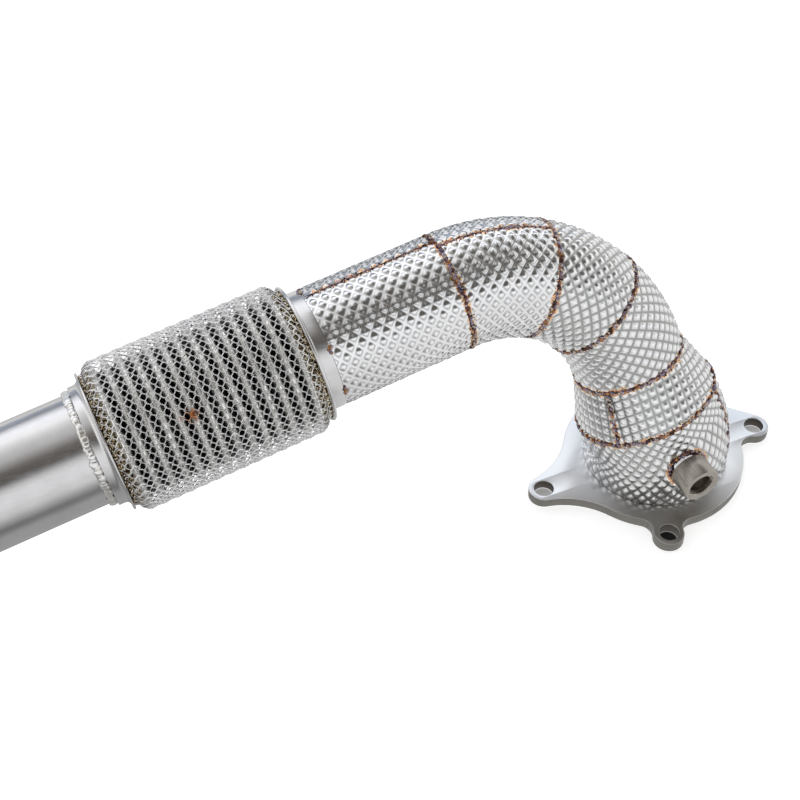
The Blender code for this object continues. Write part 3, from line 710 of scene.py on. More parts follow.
# %% Flange plate
FLANGE_EDGE = 0.7 * MM
HOLE_CENTRES = [polar(reach, math.radians(degrees)) for degrees, reach, _ in EARS]
holes = [circle(centre, BOLT_HOLE_RADIUS) for centre in HOLE_CENTRES]
plate = bpy.data.curves.new("flange_plate", "CURVE")
plate.dimensions = "2D"
plate.fill_mode = "BOTH"
plate.extrude = FLANGE_THICKNESS / 2 - FLANGE_EDGE
plate.bevel_depth = FLANGE_EDGE
plate.bevel_resolution = 2
plate.offset = -FLANGE_EDGE
for loop in [flange_outline(), circle(Vector(), NECK_R + CLEARANCE), *holes]:
    spline = plate.splines.new("POLY")
    spline.points.add(len(loop) - 1)
    for point, place in zip(spline.points, loop):
        point.co = (*place, 1)
    spline.use_cyclic_u = True
flange = new_object("eared_flange", plate)
mesh = evaluated(flange)
bpy.data.objects.remove(flange)
mesh.transform(Matrix.Translation((0, 0, FLANGE_THICKNESS / 2)))
with edited(mesh) as bm:
    bmesh.ops.remove_doubles(bm, verts=bm.verts, dist=0.005 * MM)
flange = outward(new_object("eared_flange", mesh))
mesh.materials.clear()
for material in (FLANGE_STEEL, CUT_STEEL, HOLE_PAINTED_SHADE_STEEL):
    mesh.materials.append(material)
for polygon in mesh.polygons:
    flat = Vector((polygon.center.x, polygon.center.y, 0))
    in_hole = min((flat - centre).length for centre in HOLE_CENTRES) < BOLT_HOLE_RADIUS + FLANGE_EDGE
    if abs(polygon.normal.z) < 0.3:
        polygon.material_index = 2 if in_hole else 1
hand_in(flange, "flange_steel", "inlet_flange")

# %% [markdown]
# ## Floor
#
# A white sheet that keeps the part's shadow. Hardly any light gets down a bolt hole, so a painted shadow
# makes the sheet glow less there. In the photograph the near bolt hole, the first in the list, is almost
# black, so the sheet's colour is painted almost black under it, a painted shadow. Polished metal sees the
# sheet greyer under the tube, a painted shade for reflections only, as the photograph's own reflections
# show.

# %% Floor
FLOOR_HALF = 3.0
FLOOR_GAP = 0.05 * MM
HOLE_FADE = (6.5 * MM, 8.5 * MM)
DARK_GLOW, OPEN_GLOW = 0.2, 0.62
FLOOR, tree = new_material("studio_floor", 0.9, 0.0)
tree.tree.nodes.clear()
ray = tree.add("LightPath")
place = tree.place()
across, away, _ = tree.split(place)
# Painted shade for reflections only: glossy rays see the sheet greyer close to the part and under the tube.
grey = away.math("ABSOLUTE").ramp(
    (0.06, 0.40), (0.12, 0.23), (0.16, 0.21), (0.25, 0.40), (0.47, 0.64), (1.0, 0.82)
)
mirrored = tree.add("Emission", across.remap(-0.30, -0.12).blend(grey, 0.85), 1.0)
gaps = [place.vector("DISTANCE", tuple(centre)) for centre in HOLE_CENTRES]
nearest = gaps[0]
for gap in gaps[1:]:
    nearest = nearest.math("MINIMUM", gap)
# Painted shadow: the sheet glows less under every bolt hole, and under the near one its colour is painted
# almost black.
clear = gaps[0].remap(*HOLE_FADE)
glow = nearest.remap(*HOLE_FADE, DARK_GLOW, OPEN_GLOW) * clear
base = tree.add("BsdfDiffuse", clear.blend(0.06, 0.86))
lit = tree.add("AddShader", base, tree.add("Emission", 1.0, ray["Is Camera Ray"] * glow))
both = tree.add("MixShader", ray["Is Glossy Ray"], lit, mirrored)
tree.link(both, tree.tree.nodes.new("ShaderNodeOutputMaterial").inputs["Surface"])
corners = [(a * FLOOR_HALF, b * FLOOR_HALF, -FLOOR_GAP) for a, b in ((-1, -1), (1, -1), (1, 1), (-1, 1))]
floor = mesh_object("floor", corners, faces=[range(4)])
floor.data.materials.append(FLOOR)
print("stage: painted world and a floor", FLOOR_HALF * 2, "m wide")

# %% [markdown]
# ## Collars, liner and outlet tube
#
# The flex coupling is clamped between two turned collars. Each has a band, a fillet that flares up to a
# thin lip, and a rounded rim. A half outline spun about the duct's own axis gives them, as a lathe would.

# %% Collars
LIP_R = 48.2 * MM
COLLAR_BORE_R = PIPE_R + CLEARANCE
COLLAR_R = COLLAR_BORE_R + 3.2 * MM
REAR_BAND = 8.3 * MM
HEM_START = 1.6 * MM
HEM_END = HEM_START + 5.4 * MM
FRONT = station(FRONT_LIP)
REAR = station(REAR_LIP)
FLIPPED_REAR = REAR @ Matrix.Rotation(math.pi, 4, "X")
ARC_STEPS = 8


def lathe_arc(radius, height, size, start, end):
    angles = [math.radians(start + (end - start) * i / ARC_STEPS) for i in range(ARC_STEPS + 1)]
    return [(radius + size * math.cos(a), height + size * math.sin(a)) for a in angles]


def collar(name, band, thickness, flare, place):
    half = thickness / 2
    outline = [
        (COLLAR_BORE_R, -band), (COLLAR_R, -band),
        *lathe_arc(COLLAR_R + flare, -half - flare, flare, 180, 90),
        *lathe_arc(LIP_R - half, 0, half, -90, 90),
        (COLLAR_R, half), (COLLAR_R, HEM_END), (COLLAR_BORE_R, HEM_END),
    ]
    hand_in(turned(f"{name}_collar", outline, place, TUBE_STEEL), "tube_steel", f"flex_{name}_collar")


collar("front", FRONT_BAND, 2.6 * MM, 1.4 * MM, FRONT)
collar("rear", REAR_BAND, 1.6 * MM, 3.4 * MM, FLIPPED_REAR)

# %% Outlet tube and liner
TUBE_START = 1.9 * MM
LINER_START = -2.3 * MM
LINER_PITCH = 6.0 * MM
LINER_BORE_R = PIPE_R - 1.2 * MM
LINER_RIDGE_R = PIPE_R + 0.6 * MM
RIDGE = ((PIPE_R, 0), (LINER_RIDGE_R, MM), (LINER_RIDGE_R, 2.5 * MM), (PIPE_R, 3.5 * MM))
tube_outline = [
    (PIPE_R - PIPE_WALL, TUBE_START), (PIPE_R, TUBE_START),
    (PIPE_R, OUTLET_LENGTH), (PIPE_R - PIPE_WALL, OUTLET_LENGTH),
]
hand_in(turned("plain_outlet_tube", tube_outline, REAR, TUBE_STEEL), "tube_steel", "outlet_tube")
liner_outline = [(LINER_BORE_R, FLEX_LENGTH), (LINER_BORE_R, LINER_START), (PIPE_R, LINER_START)]
for number in range(2, round(FLEX_LENGTH / LINER_PITCH) - 1):
    liner_outline += [(radius, number * LINER_PITCH + height) for radius, height in RIDGE]
liner_outline.append((PIPE_R, FLEX_LENGTH))
liner = turned("interlocked_liner", liner_outline, FRONT, INNER_STEEL, edge=0, sides=64)
hand_in(liner, "bellows_steel", "flex_liner")

# %% [markdown]
# ## Oxygen sensor bung
#
# A turned boss with a chamfered rim and an M18 thread. The boss is spun like the collars; the thread is one
# helix with a sharp section, made by a small Geometry Nodes tree from a spiral and a three-sided profile.

# %% Bung
BUNG_FOOT = -18.0 * MM
BUNG_ROOT_R = BUNG_BORE_R + 0.7 * MM
bung_outline = [
    (BUNG_ROOT_R, BUNG_FOOT), (BUNG_R, BUNG_FOOT), (BUNG_R, -1.0 * MM), (BUNG_R - 0.35 * MM, -0.35 * MM),
    (BUNG_R - 1.0 * MM, 0), (BUNG_MOUTH_R, 0), (BUNG_ROOT_R, BUNG_ROOT_R - BUNG_MOUTH_R),
]
bung = turned("turned_bung", bung_outline, BUNG_PLACE, BUNG_STEEL, sides=96)
hand_in(bung, "bung_steel", "oxygen_sensor_bung")

# %% Thread
THREAD_STEPS = 48
THREAD_FOOT = -15.5 * MM
THREAD = new_tree(
    "helical_thread", "Geometry", MESH_OUT,
    Turns=10.0, Radius=0.009, Length=0.015, Tooth=0.0006, Finish="Material",
)
radius = THREAD["Radius"]
helix = THREAD.add("CurveSpiral", THREAD_STEPS, THREAD["Turns"], radius, radius, THREAD["Length"], False)
tooth = THREAD.add("CurvePrimitiveCircle", 3, THREAD["Tooth"], mode="RADIUS")
THREAD.give_mesh(THREAD.add("CurveToMesh", helix, tooth, None, True))


def grown(name, tree, **values):
    """A piece that the tree makes out of nothing."""
    return settle(grow(new_object(name, bpy.data.meshes.new(name)), tree, **values))


thread = grown(
    "sensor_thread", THREAD, Turns=9.0, Radius=BUNG_BORE_R + 0.5 * MM, Length=13.5 * MM, Tooth=0.6 * MM,
    Finish=BUNG_STEEL,
)
thread.data.transform(BUNG_PLACE @ Matrix.Translation((0, 0, THREAD_FOOT)))
hand_in(outward(thread), "bung_steel")

# %% [markdown]
# ## Embossed heat shield
#
# The shield is stainless sheet pressed all over with small square bumps on a diamond lattice, then cut into
# gores, rolled round the blanket and welded. The sheet's mesh is drawn on the lattice itself: its lines run
# through each bump's centre, top edge and foot, so a few dozen faces give a crisp bump. It is laid out flat
# in real millimetres, trimmed at its seams and rolled onto the duct. A tree then presses the bumps
# outwards, and fades them towards the welded edges, where the real sheet is hammered flat.

# %% Lattice
BUMP_TOP = 0.20
BUMP_FOOT = 0.39
LINES = np.array([0, BUMP_TOP, BUMP_FOOT, 0.5, 1 - BUMP_FOOT, 1 - BUMP_TOP])


def lattice(along, around, low, high, half, turn=0.0, wrap=None):
    """Lattice coordinates, flat places and quads. wrap is (steps along, cells around) of a closed sheet."""
    lines = len(LINES)
    slope = abs(math.sin(turn))
    x_margin, y_margin = 2 * half * slope + along, (high - low) * slope + around
    first, last = [int(place / along * 2 * lines) for place in (low - x_margin, high + x_margin)]
    rows = np.arange(first, last + 1)
    if wrap:
        columns = np.arange(0, 2 * lines * wrap[1])
    else:
        edge = int((half + y_margin) / around * 2 * lines)
        columns = np.arange(-edge, edge + 1)
    row, column = [grid.ravel() for grid in np.meshgrid(rows, columns)]
    even = (row + column) % 2 == 0
    row, column = row[even], column[even]
    rows4 = np.stack([row, row + 1, row + 2, row + 1], -1)
    columns4 = np.stack([column, column + 1, column, column - 1], -1)
    if wrap:
        laps = columns4 // (2 * lines * wrap[1])
        columns4 = columns4 - laps * 2 * lines * wrap[1]
        rows4 = rows4 - laps * 2 * lines * wrap[0]
    span = 1 << 20
    keys, faces = np.unique((rows4 + span // 2) * span + columns4 + span // 2, return_inverse=True)
    row, column = keys // span - span // 2, keys % span - span // 2
    i, j = (row + column) // 2, (row - column) // 2
    u = i // lines + LINES[i % lines]
    v = j // lines + LINES[j % lines]
    flat_x, flat_y = along * (u + v) / 2, around * (u - v) / 2
    x = flat_x * math.cos(turn) + flat_y * math.sin(turn)
    y = flat_y * math.cos(turn) - flat_x * math.sin(turn)
    return u, v, x, y, faces.reshape(-1, 4)


def trimmed(start, end, share, angle, u, v, edge, faces, outside):
    """Drops each face that lies wholly beyond an edge. Returns what is known of the points in use."""
    keep = np.ones(len(faces), bool)
    for beyond in outside:
        keep &= ~beyond[faces].all(1)
    used, faces = np.unique(faces[keep], return_inverse=True)
    distances = start + share[used] * (end - start)
    return distances, angle[used], u[used], v[used], edge[used], faces.reshape(-1, 4)


# %% Rolling a flat sheet
def slant_lengths(start, end):
    """Angles round the duct, and the sheet's length along it at each."""
    angles = np.linspace(-math.pi, math.pi, 73)
    distances = np.linspace(start, end, 41)
    lengths = []
    for angle in angles:
        points, _ = on_duct(distances, np.full(len(distances), angle), sheet_radius(distances))
        lengths.append(np.linalg.norm(np.diff(points, axis=0), axis=1).sum())
    return angles, np.array(lengths)


def rolled(start, end, along, around, lap, steps):
    """A sheet rolled on the line. With no lap it closes on itself, shifted by these lattice steps."""
    girth = math.tau * float(sheet_radius((start + end) / 2))
    angles, lengths = slant_lengths(start, end)
    half_length = lengths.max() / 2
    turn = 0.0
    wrap = None
    if lap is None:
        cells = round(girth / around)
        turn = -math.atan2(steps * along, cells * around)
        around *= girth / math.hypot(cells * around, steps * along)
        wrap = (steps, cells)
    u, v, x, y, faces = lattice(along, around, -half_length, half_length, girth / 2, turn, wrap)
    angle = y / girth * math.tau
    outside = []
    side = np.full(len(x), 1.0)
    if lap is not None:
        outside += [angle < -math.pi, angle > math.pi]
        angle = np.clip(angle, -math.pi, math.pi)
        side = (math.pi - np.abs(angle)) * girth / math.tau
        angle = angle + math.radians(lap) + math.pi
    folded = (angle + math.pi) % math.tau - math.pi
    length = np.interp(folded, angles, lengths)
    share = x / length + 0.5
    outside += [share < 0, share > 1]
    share = np.clip(share, 0, 1)
    edge = np.minimum(np.minimum(share, 1 - share) * length, side)
    return trimmed(start, end, share, angle, u, v, edge, faces, outside)


def rolled_cone(start, end, along, around, lap):
    """The same for a cone, whose flat pattern is a sector of a ring: the lattice turns as it goes round."""
    radii = [float(sheet_radius(distance)) for distance in (start, end)]
    half_angle = math.atan2(radii[0] - radii[1], end - start)
    reach = [radius / math.sin(half_angle) for radius in radii]
    middle = sum(reach) / 2
    sector = math.pi * math.sin(half_angle)
    low, high = middle - reach[0], middle - reach[1] * math.cos(sector)
    u, v, x, y, faces = lattice(along, around, low, high, reach[0] * math.sin(sector))
    out = np.hypot(middle - x, y)
    bend = np.arctan2(y, middle - x)
    outside = [bend < -sector, bend > sector]
    bend = np.clip(bend, -sector, sector)
    share = (reach[0] - out) / (reach[0] - reach[1])
    outside += [share < 0, share > 1]
    share = np.clip(share, 0, 1)
    edge = np.minimum(np.minimum(share, 1 - share) * (reach[0] - reach[1]), (sector - np.abs(bend)) * middle)
    angle = math.radians(lap) + math.pi + bend / math.sin(half_angle)
    return trimmed(start, end, share, angle, u, v, edge, faces, outside)


# %% Press tree
FLAT_EDGE = 0.4 * MM
PRESS = new_tree(
    "press_bumps", "Geometry", MESH_OUT,
    Geometry="Geometry", Height=0.001, Top=BUMP_TOP, Foot=BUMP_FOOT, Fade=0.003, Dent=0.0005,
    Finish="Material",
)


def from_centre(name):
    """How far a point lies from the middle of its cell, in cells."""
    cell = PRESS.stored(name)
    return (cell - cell.math("ROUND")).math("ABSOLUTE")


spot = PRESS.add("InputPosition")
uneven = PRESS.add("TexNoise", spot, 260.0, 2.0, 0.5)
waves = PRESS.add("TexNoise", spot, 70.0, 2.0, 0.5)
far = from_centre("cell_u").math("MAXIMUM", from_centre("cell_v"))
raised = far.remap(PRESS["Top"], PRESS["Foot"], 1.0, 0.0)
fade = PRESS.stored("edge").remap(FLAT_EDGE, PRESS["Fade"], 0.12, 1.0, smooth=True)
depth = raised * (PRESS["Height"] * fade) * (uneven + 0.55)
sunk = (waves - 0.5) * PRESS["Dent"]
lift = PRESS.stored("outward", "FLOAT_VECTOR").vector("SCALE", depth + sunk)
moved = PRESS.add("SetPosition", PRESS["Geometry"], None, None, lift)
PRESS.give_mesh(PRESS.add("StoreNamedAttribute", moved, None, "far", far, domain="POINT"))


# %% Sheet finish
def sheet_finish(name, flank, valley):
    """Bright sheet with temper colours at its welds. flank and valley say how far painted shade darkens the
    bumps' sides and the valleys between bumps.
    """
    material, tree = new_material(name, 0.16)
    heat = tree.use(HEAT, Distance=tree.read("warm"), Reach=3.6 * MM, Patch=420.0)
    satin = tree.use(SATIN, Fine=500.0)
    clean = satin["Cloud"].vary(0.0, 1.0).blend(1.0, (0.94, 0.94, 0.95))
    # Painted shade: the bumps' flanks and the valleys between them are painted darker.
    painted_shade = tree.read("far").ramp(
        (BUMP_TOP - 0.03, 0.0), (BUMP_TOP + 0.03, flank),
        (BUMP_FOOT - 0.05, flank), (BUMP_FOOT + 0.02, valley),
    )
    clean = tree.add("SeparateColor", painted_shade).blend(clean, (0.20, 0.20, 0.19))
    relief = (satin["Height"], 0.1 * MM, 0.25)
    tree.paint(heat["Mask"].blend(clean, heat["Color"]), satin["Grain"].vary(0.12, 0.22), relief)
    return material


SHEET = sheet_finish("embossed_shield_steel", 0.5, 0.08)
NECK_SHEET = sheet_finish("embossed_neck_steel", 0.24, 0.75)

# %% Gores
SHEET_ALONG = 8.7 * MM
SHEET_AROUND = 10.0 * MM
SHEET_WALL = 0.4 * MM
SHEET_SINK = 0.15 * MM
SKIRT_START = FLANGE_THICKNESS + CLEARANCE
SEAM_GAP = CLEARANCE / 2
BUNG_OVERLAP = 1.5 * MM
COLD_REACH = 6 * MM
UNHEATED = 20 * MM
SKIRT_LAP, FLARE_LAP, GORE_LAP, SLEEVE_LAP = -39.0, -141.0, -14.0, -5.0
CREASE_ANGLE = math.radians(50)


def shield_piece(
    name, start, end, lap=None, steps=0, conical=False, bored=False, quarter=False, cold=None,
    finish=NECK_SHEET,
):
    """Rolls the sheet between two places, presses it and puts it in the place of its solid. cold is an edge
    that isn't welded.
    """
    pitch = (SHEET_AROUND, SHEET_ALONG) if quarter else (SHEET_ALONG, SHEET_AROUND)
    sheet = rolled_cone(start, end, *pitch, lap) if conical else rolled(start, end, *pitch, lap, steps)
    distances, angles, u, v, edge, faces = sheet
    points, out = on_duct(distances, angles, sheet_radius(distances) - SHEET_SINK)
    if bored:
        local = (points - np.array(BUNG_PLACE.translation)) @ np.array(BUNG_PLACE.to_3x3())
        off_axis = np.hypot(local[:, 0], local[:, 1])
        inside = (off_axis < BUNG_R - BUNG_OVERLAP) & (points[:, 1] < 0)
        faces = faces[~inside[faces].all(1)]
        edge = np.minimum(edge, np.maximum(off_axis - BUNG_R, 0))
    warm = np.array(edge)
    if cold is not None:
        warm[np.abs(distances - cold) < COLD_REACH] = UNHEATED
    values = dict(cell_u=u, cell_v=v, edge=edge, warm=warm, outward=out)
    piece = mesh_object(f"pressed_{name}", points, faces=faces, **values)
    grow(piece, PRESS, Height=0.9 * MM, Fade=2.2 * MM, Dent=0.5 * MM, Finish=finish)
    wall = piece.modifiers.new("wall", "SOLIDIFY")
    wall.thickness = SHEET_WALL
    settle(piece)
    piece.data.shade_smooth()
    piece.data.set_sharp_from_angle(angle=CREASE_ANGLE)
    hand_in(piece, "shield_steel", f"shield_{name}")


PIECES = dict(
    skirt=dict(lap=SKIRT_LAP, quarter=True, bored=True, cold=SKIRT_START),
    flare=dict(lap=FLARE_LAP, conical=True),
    gore_1=dict(steps=4),
    gore_2=dict(),
    gore_3=dict(lap=GORE_LAP, finish=SHEET),
    sleeve=dict(lap=SLEEVE_LAP, cold=SLEEVE_END, finish=SHEET),
)
starts = (SKIRT_START, *[seam + SEAM_GAP for seam in SEAMS])
ends = (*[seam - SEAM_GAP for seam in SEAMS], SLEEVE_END)
for (name, values), start, end in zip(PIECES.items(), starts, ends):
    shield_piece(name, start, end, **values)

# %% [markdown]
# ## Weld beads
#
# The gores are welded by hand, so each seam is a lumpy, heat-coloured line with spatter beside it. One tree
# scatters small flattened dabs along a path: a long overlapping row makes the bead, and a sparse, wide row
# of tiny ones makes the crust at its sides. Every dab carries its own random tint, which the material
# reads.

# %% Bead tree
BEAD = new_tree(
    "weld_dabs", "Geometry", MESH_OUT,
    Geometry="Geometry", Spacing=0.001, Spread=0.0003, Length=0.0012, Width=0.0012, Rise=0.0006, Uneven=0.35,
    Seed=1, Detail=2, Finish="Material",
)
curve = BEAD.add("MeshToCurve", BEAD["Geometry"])
dabs = BEAD.add("CurveToPoints", curve, BEAD["Spacing"], mode="LENGTH")
tangent = dabs["Tangent"]
out = BEAD.stored("outward", "FLOAT_VECTOR")
aside = BEAD.chance(-1.0, 1.0, 0) * BEAD["Spread"]
shift = out.vector("CROSS_PRODUCT", tangent).vector("SCALE", aside)
dabs = BEAD.add("SetPosition", dabs, None, None, shift)
low, high = 1.0 - BEAD["Uneven"], BEAD["Uneven"] + 1.0
sizes = [BEAD[label] * BEAD.chance(low, high, n) for n, label in enumerate(("Length", "Width", "Rise"), 1)]
facing = BEAD.add("AxesToRotation", out, tangent, primary_axis="Z", secondary_axis="X")
dab = BEAD.add("MeshIcoSphere", 1.0, BEAD["Detail"])
row = BEAD.add("InstanceOnPoints", dabs, None, dab, None, None, facing, BEAD.add("CombineXYZ", *sizes))
BEAD.give_mesh(BEAD.tinted(row))

# %% Bead finishes
DARK_BEAD, tree = new_material("heat_tinted_weld", 0.30)
mottle = tree.add("TexNoise", tree.place(), 420.0, 2.0, 0.6)
mixed = tree.read("tint") + (mottle - 0.5) * 0.5
tree.paint(mixed.ramp(
    (0.0, (0.05, 0.035, 0.03)), (0.20, (0.15, 0.07, 0.06)), (0.30, (0.62, 0.30, 0.11)),
    (0.38, (0.17, 0.09, 0.09)), (0.50, (0.32, 0.26, 0.34)), (0.60, (0.55, 0.50, 0.57)),
    (0.68, (0.08, 0.05, 0.06)), (0.80, (0.22, 0.21, 0.32)), (0.90, (0.66, 0.50, 0.32)),
    (1.0, (0.56, 0.54, 0.54)),
), relief=(mottle, 0.3 * MM, 0.5))

BRIGHT_BEAD, tree = new_material("bright_weld", 0.3)
mottle = tree.add("TexNoise", tree.place(), 260.0, 3.0, 0.6)
mixed = tree.read("tint") * 0.35 + mottle * 0.65
tree.paint(mixed.ramp(
    (0.2, (0.52, 0.46, 0.36)), (0.34, (0.80, 0.78, 0.72)), (0.46, (0.92, 0.91, 0.89)), (0.75, 0.95)
), relief=(mottle, 0.3 * MM, 0.6))


# %% Bead paths
def path_object(name, points, out, ring):
    """A line of points as a mesh of edges, with the direction that faces away from the sheet."""
    count = len(points)
    edges = [(i, (i + 1) % count) for i in range(count if ring else count - 1)]
    return mesh_object(name, points, edges=edges, outward=out)


def joined(name, pieces):
    """Joins meshes of one material into a new one."""
    bm = bmesh.new()
    for piece in pieces:
        bm.from_mesh(piece.data)
    mesh = bpy.data.meshes.new(name)
    bm.to_mesh(mesh)
    bm.free()
    mesh.materials.append(pieces[0].data.materials[0])
    for piece in pieces:
        bpy.data.objects.remove(piece)
    return new_object(name, mesh)


def row_sizes(spacing, spread, length, width, rise, uneven, detail=2):
    """The bead tree's sizes, given here in millimetres."""
    sizes = dict(Spacing=spacing, Spread=spread, Length=length, Width=width, Rise=rise)
    return {label: size * MM for label, size in sizes.items()} | dict(Uneven=uneven, Detail=detail)


DARK_ROW = row_sizes(1.0, 1.1, 1.4, 1.15, 0.9, 0.45)
FAINT_ROW = row_sizes(1.6, 0.7, 0.9, 0.5, 0.4, 0.6)
DARK_CRUST = row_sizes(0.7, 2.8, 0.45, 0.4, 0.35, 0.6, detail=1)
TACK_ROW = row_sizes(0.8, 0.9, 1.3, 1.3, 0.9, 0.35)
OUTLET_ROW = row_sizes(2.8, 0.5, 3.4, 2.7, 1.3, 0.2)
RING_POINTS = 180
SEAM_LIFT = 0.15 * MM


def bead_row(name, path, sizes, seed, finish=DARK_BEAD):
    """One row of dabs along a path: its points, their outward directions, and whether it closes."""
    return settle(grow(path_object(name, *path), BEAD, **sizes, Seed=seed, Finish=finish))


def dark_bead(name, path, seed, node, sizes=DARK_ROW):
    row = bead_row("row", path, sizes, seed)
    crust = bead_row("crust", path, DARK_CRUST, seed + 50)
    hand_in(joined(name, [row, crust]), "tinted_weld", node)


def round_path(distance, radius):
    angles = np.arange(RING_POINTS) * math.tau / RING_POINTS
    return *on_duct(np.full(RING_POINTS, distance), angles, np.full(RING_POINTS, radius)), True


for number, seam in enumerate(SEAMS, 1):
    path = round_path(seam, float(sheet_radius(seam)) + SEAM_LIFT)
    dark_bead(f"gore_bead_{number}", path, number, f"seam_weld_{number}")

# %% Lap beads
LAP_POINTS = 40
LAP_LIFT = 0.1 * MM
LAPS = (
    ("skirt_lap", SKIRT_START, SEAMS[0], SKIRT_LAP, DARK_ROW),
    ("flare_lap", SEAMS[0], SEAMS[1], FLARE_LAP, DARK_ROW),
    ("gore_lap", SEAMS[3], SEAMS[4], GORE_LAP, FAINT_ROW),
    ("sleeve_lap", SEAMS[4], SLEEVE_END, SLEEVE_LAP, FAINT_ROW),
)
for number, (name, start, end, degrees, sizes) in enumerate(LAPS):
    distances = np.linspace(start + MM, end - MM, LAP_POINTS)
    angles = np.full(LAP_POINTS, math.radians(degrees))
    points, out = on_duct(distances, angles, sheet_radius(distances) + LAP_LIFT)
    dark_bead(f"{name}_bead", (points, out, False), 20 + number, f"{name}_seam", sizes)

# %% Collar tacks
TACK_POINTS = 8
TACK_HALF = 4
TACK_LIFT = 0.2 * MM
for number, degrees in enumerate((-112.0, -66.0, 8.0), 1):
    angles = np.radians(np.linspace(degrees - TACK_HALF, degrees + TACK_HALF, TACK_POINTS))
    heights = np.full(TACK_POINTS, COLLAR_R + TACK_LIFT)
    points, out = on_duct(np.full(TACK_POINTS, SLEEVE_END), angles, heights)
    tack = bead_row(f"tack_{number}", (points, out, False), TACK_ROW, 30 + number)
    hand_in(tack, "tinted_weld", f"collar_tack_{number}")

# %% Bead round the bung: its path is where rays from the near side meet the skirt
BUNG_BEAD_POINTS = 60
BUNG_BEAD_R = BUNG_R - 0.3 * MM
skirt = bpy.data.objects["pressed_skirt"].data
wall = BVHTree.FromPolygons([v.co for v in skirt.vertices], [p.vertices for p in skirt.polygons])
centre = BUNG_PLACE.translation
points, out = [], []
for i in range(BUNG_BEAD_POINTS):
    spoke = polar(1, i * math.tau / BUNG_BEAD_POINTS)
    reach = spoke * BUNG_BEAD_R
    start = Vector((centre.x + reach.x, -0.2, centre.z + reach.y))
    points.append(wall.ray_cast(start, Vector((0, 1, 0)))[0])
    out.append(Vector((spoke.x, -1, spoke.y)).normalized())
dark_bead("bung_bead", (points, out, True), 40, "bung_weld")

# %% Outlet bead and neck fillet
OUTLET_BEAD_GAP = 2.6 * MM
OUTLET_BEAD_LIFT = 0.9 * MM
path = round_path(REAR_LIP + REAR_BAND + OUTLET_BEAD_GAP, PIPE_R + OUTLET_BEAD_LIFT)
hand_in(bead_row("outlet_bead", path, OUTLET_ROW, 7, BRIGHT_BEAD), "bright_weld", "outlet_weld")
FILLET_LEG = 2.6 * MM
weld_in, weld_top = NECK_R + CLEARANCE, FLANGE_THICKNESS + CLEARANCE
fillet = [(weld_in, weld_top), (weld_in + FILLET_LEG, weld_top), (weld_in, weld_top + FILLET_LEG)]
hand_in(turned("neck_fillet_bead", fillet, Matrix(), BRIGHT_BEAD, edge=0), "bright_weld", "flange_weld")

# %% [markdown]
# ## Flex coupling
#
# Under the knit is a corrugated bellows: its crests catch the light, and its colour is painted from bright
# steel on the crests to nearly black in the grooves, a painted shade. Over it goes a sock knitted from steel
# wire. A knitted course is one wire that swings to and fro, and the next course swings the opposite way and
# hooks into it, which leaves rows of six-sided holes. The tree below draws every course as a ring, swings
# and weaves it with plain trigonometry, and gives it a wire's thickness.

# %% Bellows
CONVOLUTION_PITCH = 9.46 * MM
CRESTS = 14
FIRST_CREST = (FLEX_LENGTH - (CRESTS - 1) * CONVOLUTION_PITCH) / 2
TO_PHASE = math.tau / CONVOLUTION_PITCH
CREST_R = 50.9 * MM
BELLOWS_DEPTH = 8.0 * MM
BELLOWS_WALL = 0.6 * MM
CREST_SHARPNESS = 0.7
RUST_AT = 472.7 * MM
RUST_DEGREES = -69.0
RUST_R = 52.0 * MM
RUST_SIZE = 5.5 * MM
RUST_POINT, _ = on_duct(np.array([RUST_AT]), np.radians([RUST_DEGREES]), np.array([RUST_R]))


def rusty_paint(tree, clean, rust):
    """Paints the clean colour, with the one rust spot in its own colour."""
    spot = tree.use(RUST, Centre=tuple(RUST_POINT[0]), Radius=RUST_SIZE)
    tree.paint(spot["Mask"].blend(clean, rust))


BELLOWS, tree = new_material("bellows_steel", 0.30, 0.9)
# Painted shade: the colour falls from bright steel on each crest to nearly black in each groove.
crest = ((tree.read("height") - FIRST_CREST) * TO_PHASE).math("COSINE")
clean = crest.remap(-0.65, 0.0, smooth=True).blend(0.015, (1.0, 0.99, 0.96))
rusty_paint(tree, clean, (0.30, 0.09, 0.03))
heights = np.linspace(HEM_END + CLEARANCE, FLEX_LENGTH - HEM_END - CLEARANCE, CRESTS * 10)
wave = np.cos((heights - FIRST_CREST) * math.tau / CONVOLUTION_PITCH)
radii = CREST_R - BELLOWS_DEPTH / 2 + BELLOWS_DEPTH / 2 * np.sign(wave) * np.abs(wave) ** CREST_SHARPNESS
bellows_outline = [*zip(radii, heights), *zip(radii[::-1] - BELLOWS_WALL, heights[::-1])]
bellows = turned("formed_bellows", bellows_outline, FRONT, BELLOWS, edge=0, sides=72)
bellows.data.shade_smooth()
hand_in(bellows, "bellows_steel", "flex_bellows")

# %% Knit tree
POINTS_PER_STITCH = 8.0
CREST_PRINT = 0.3 * MM
KNIT = new_tree(
    "knitted_sock", "Geometry", MESH_OUT,
    Courses=55, Pitch=0.0025, Start=0.0038, Stitches=44, Swing=0.0017, Weave=0.00025, Wire=0.00024,
    Barrel=0.0522, Length=0.143, Shoulder=0.008, Drop=0.006, Seed=0.0, Finish="Material",
)
first, step = [KNIT.add("CombineXYZ", 0.0, 0.0, KNIT[label]) for label in ("Start", "Pitch")]
axis = KNIT.add("MeshLine", KNIT["Courses"], first, step, mode="OFFSET")
ring = KNIT.add("CurvePrimitiveCircle", KNIT["Stitches"] * POINTS_PER_STITCH, 1.0, mode="RADIUS")
rings = KNIT.add("InstanceOnPoints", axis, None, ring)
rings = KNIT.add("StoreNamedAttribute", rings, None, "course", KNIT.add("InputIndex"), domain="INSTANCE")
rings = KNIT.add("RealizeInstances", rings)
spot = KNIT.add("InputPosition")
x, y, z = KNIT.split(spot)
turn = y.math("ARCTAN2", x)
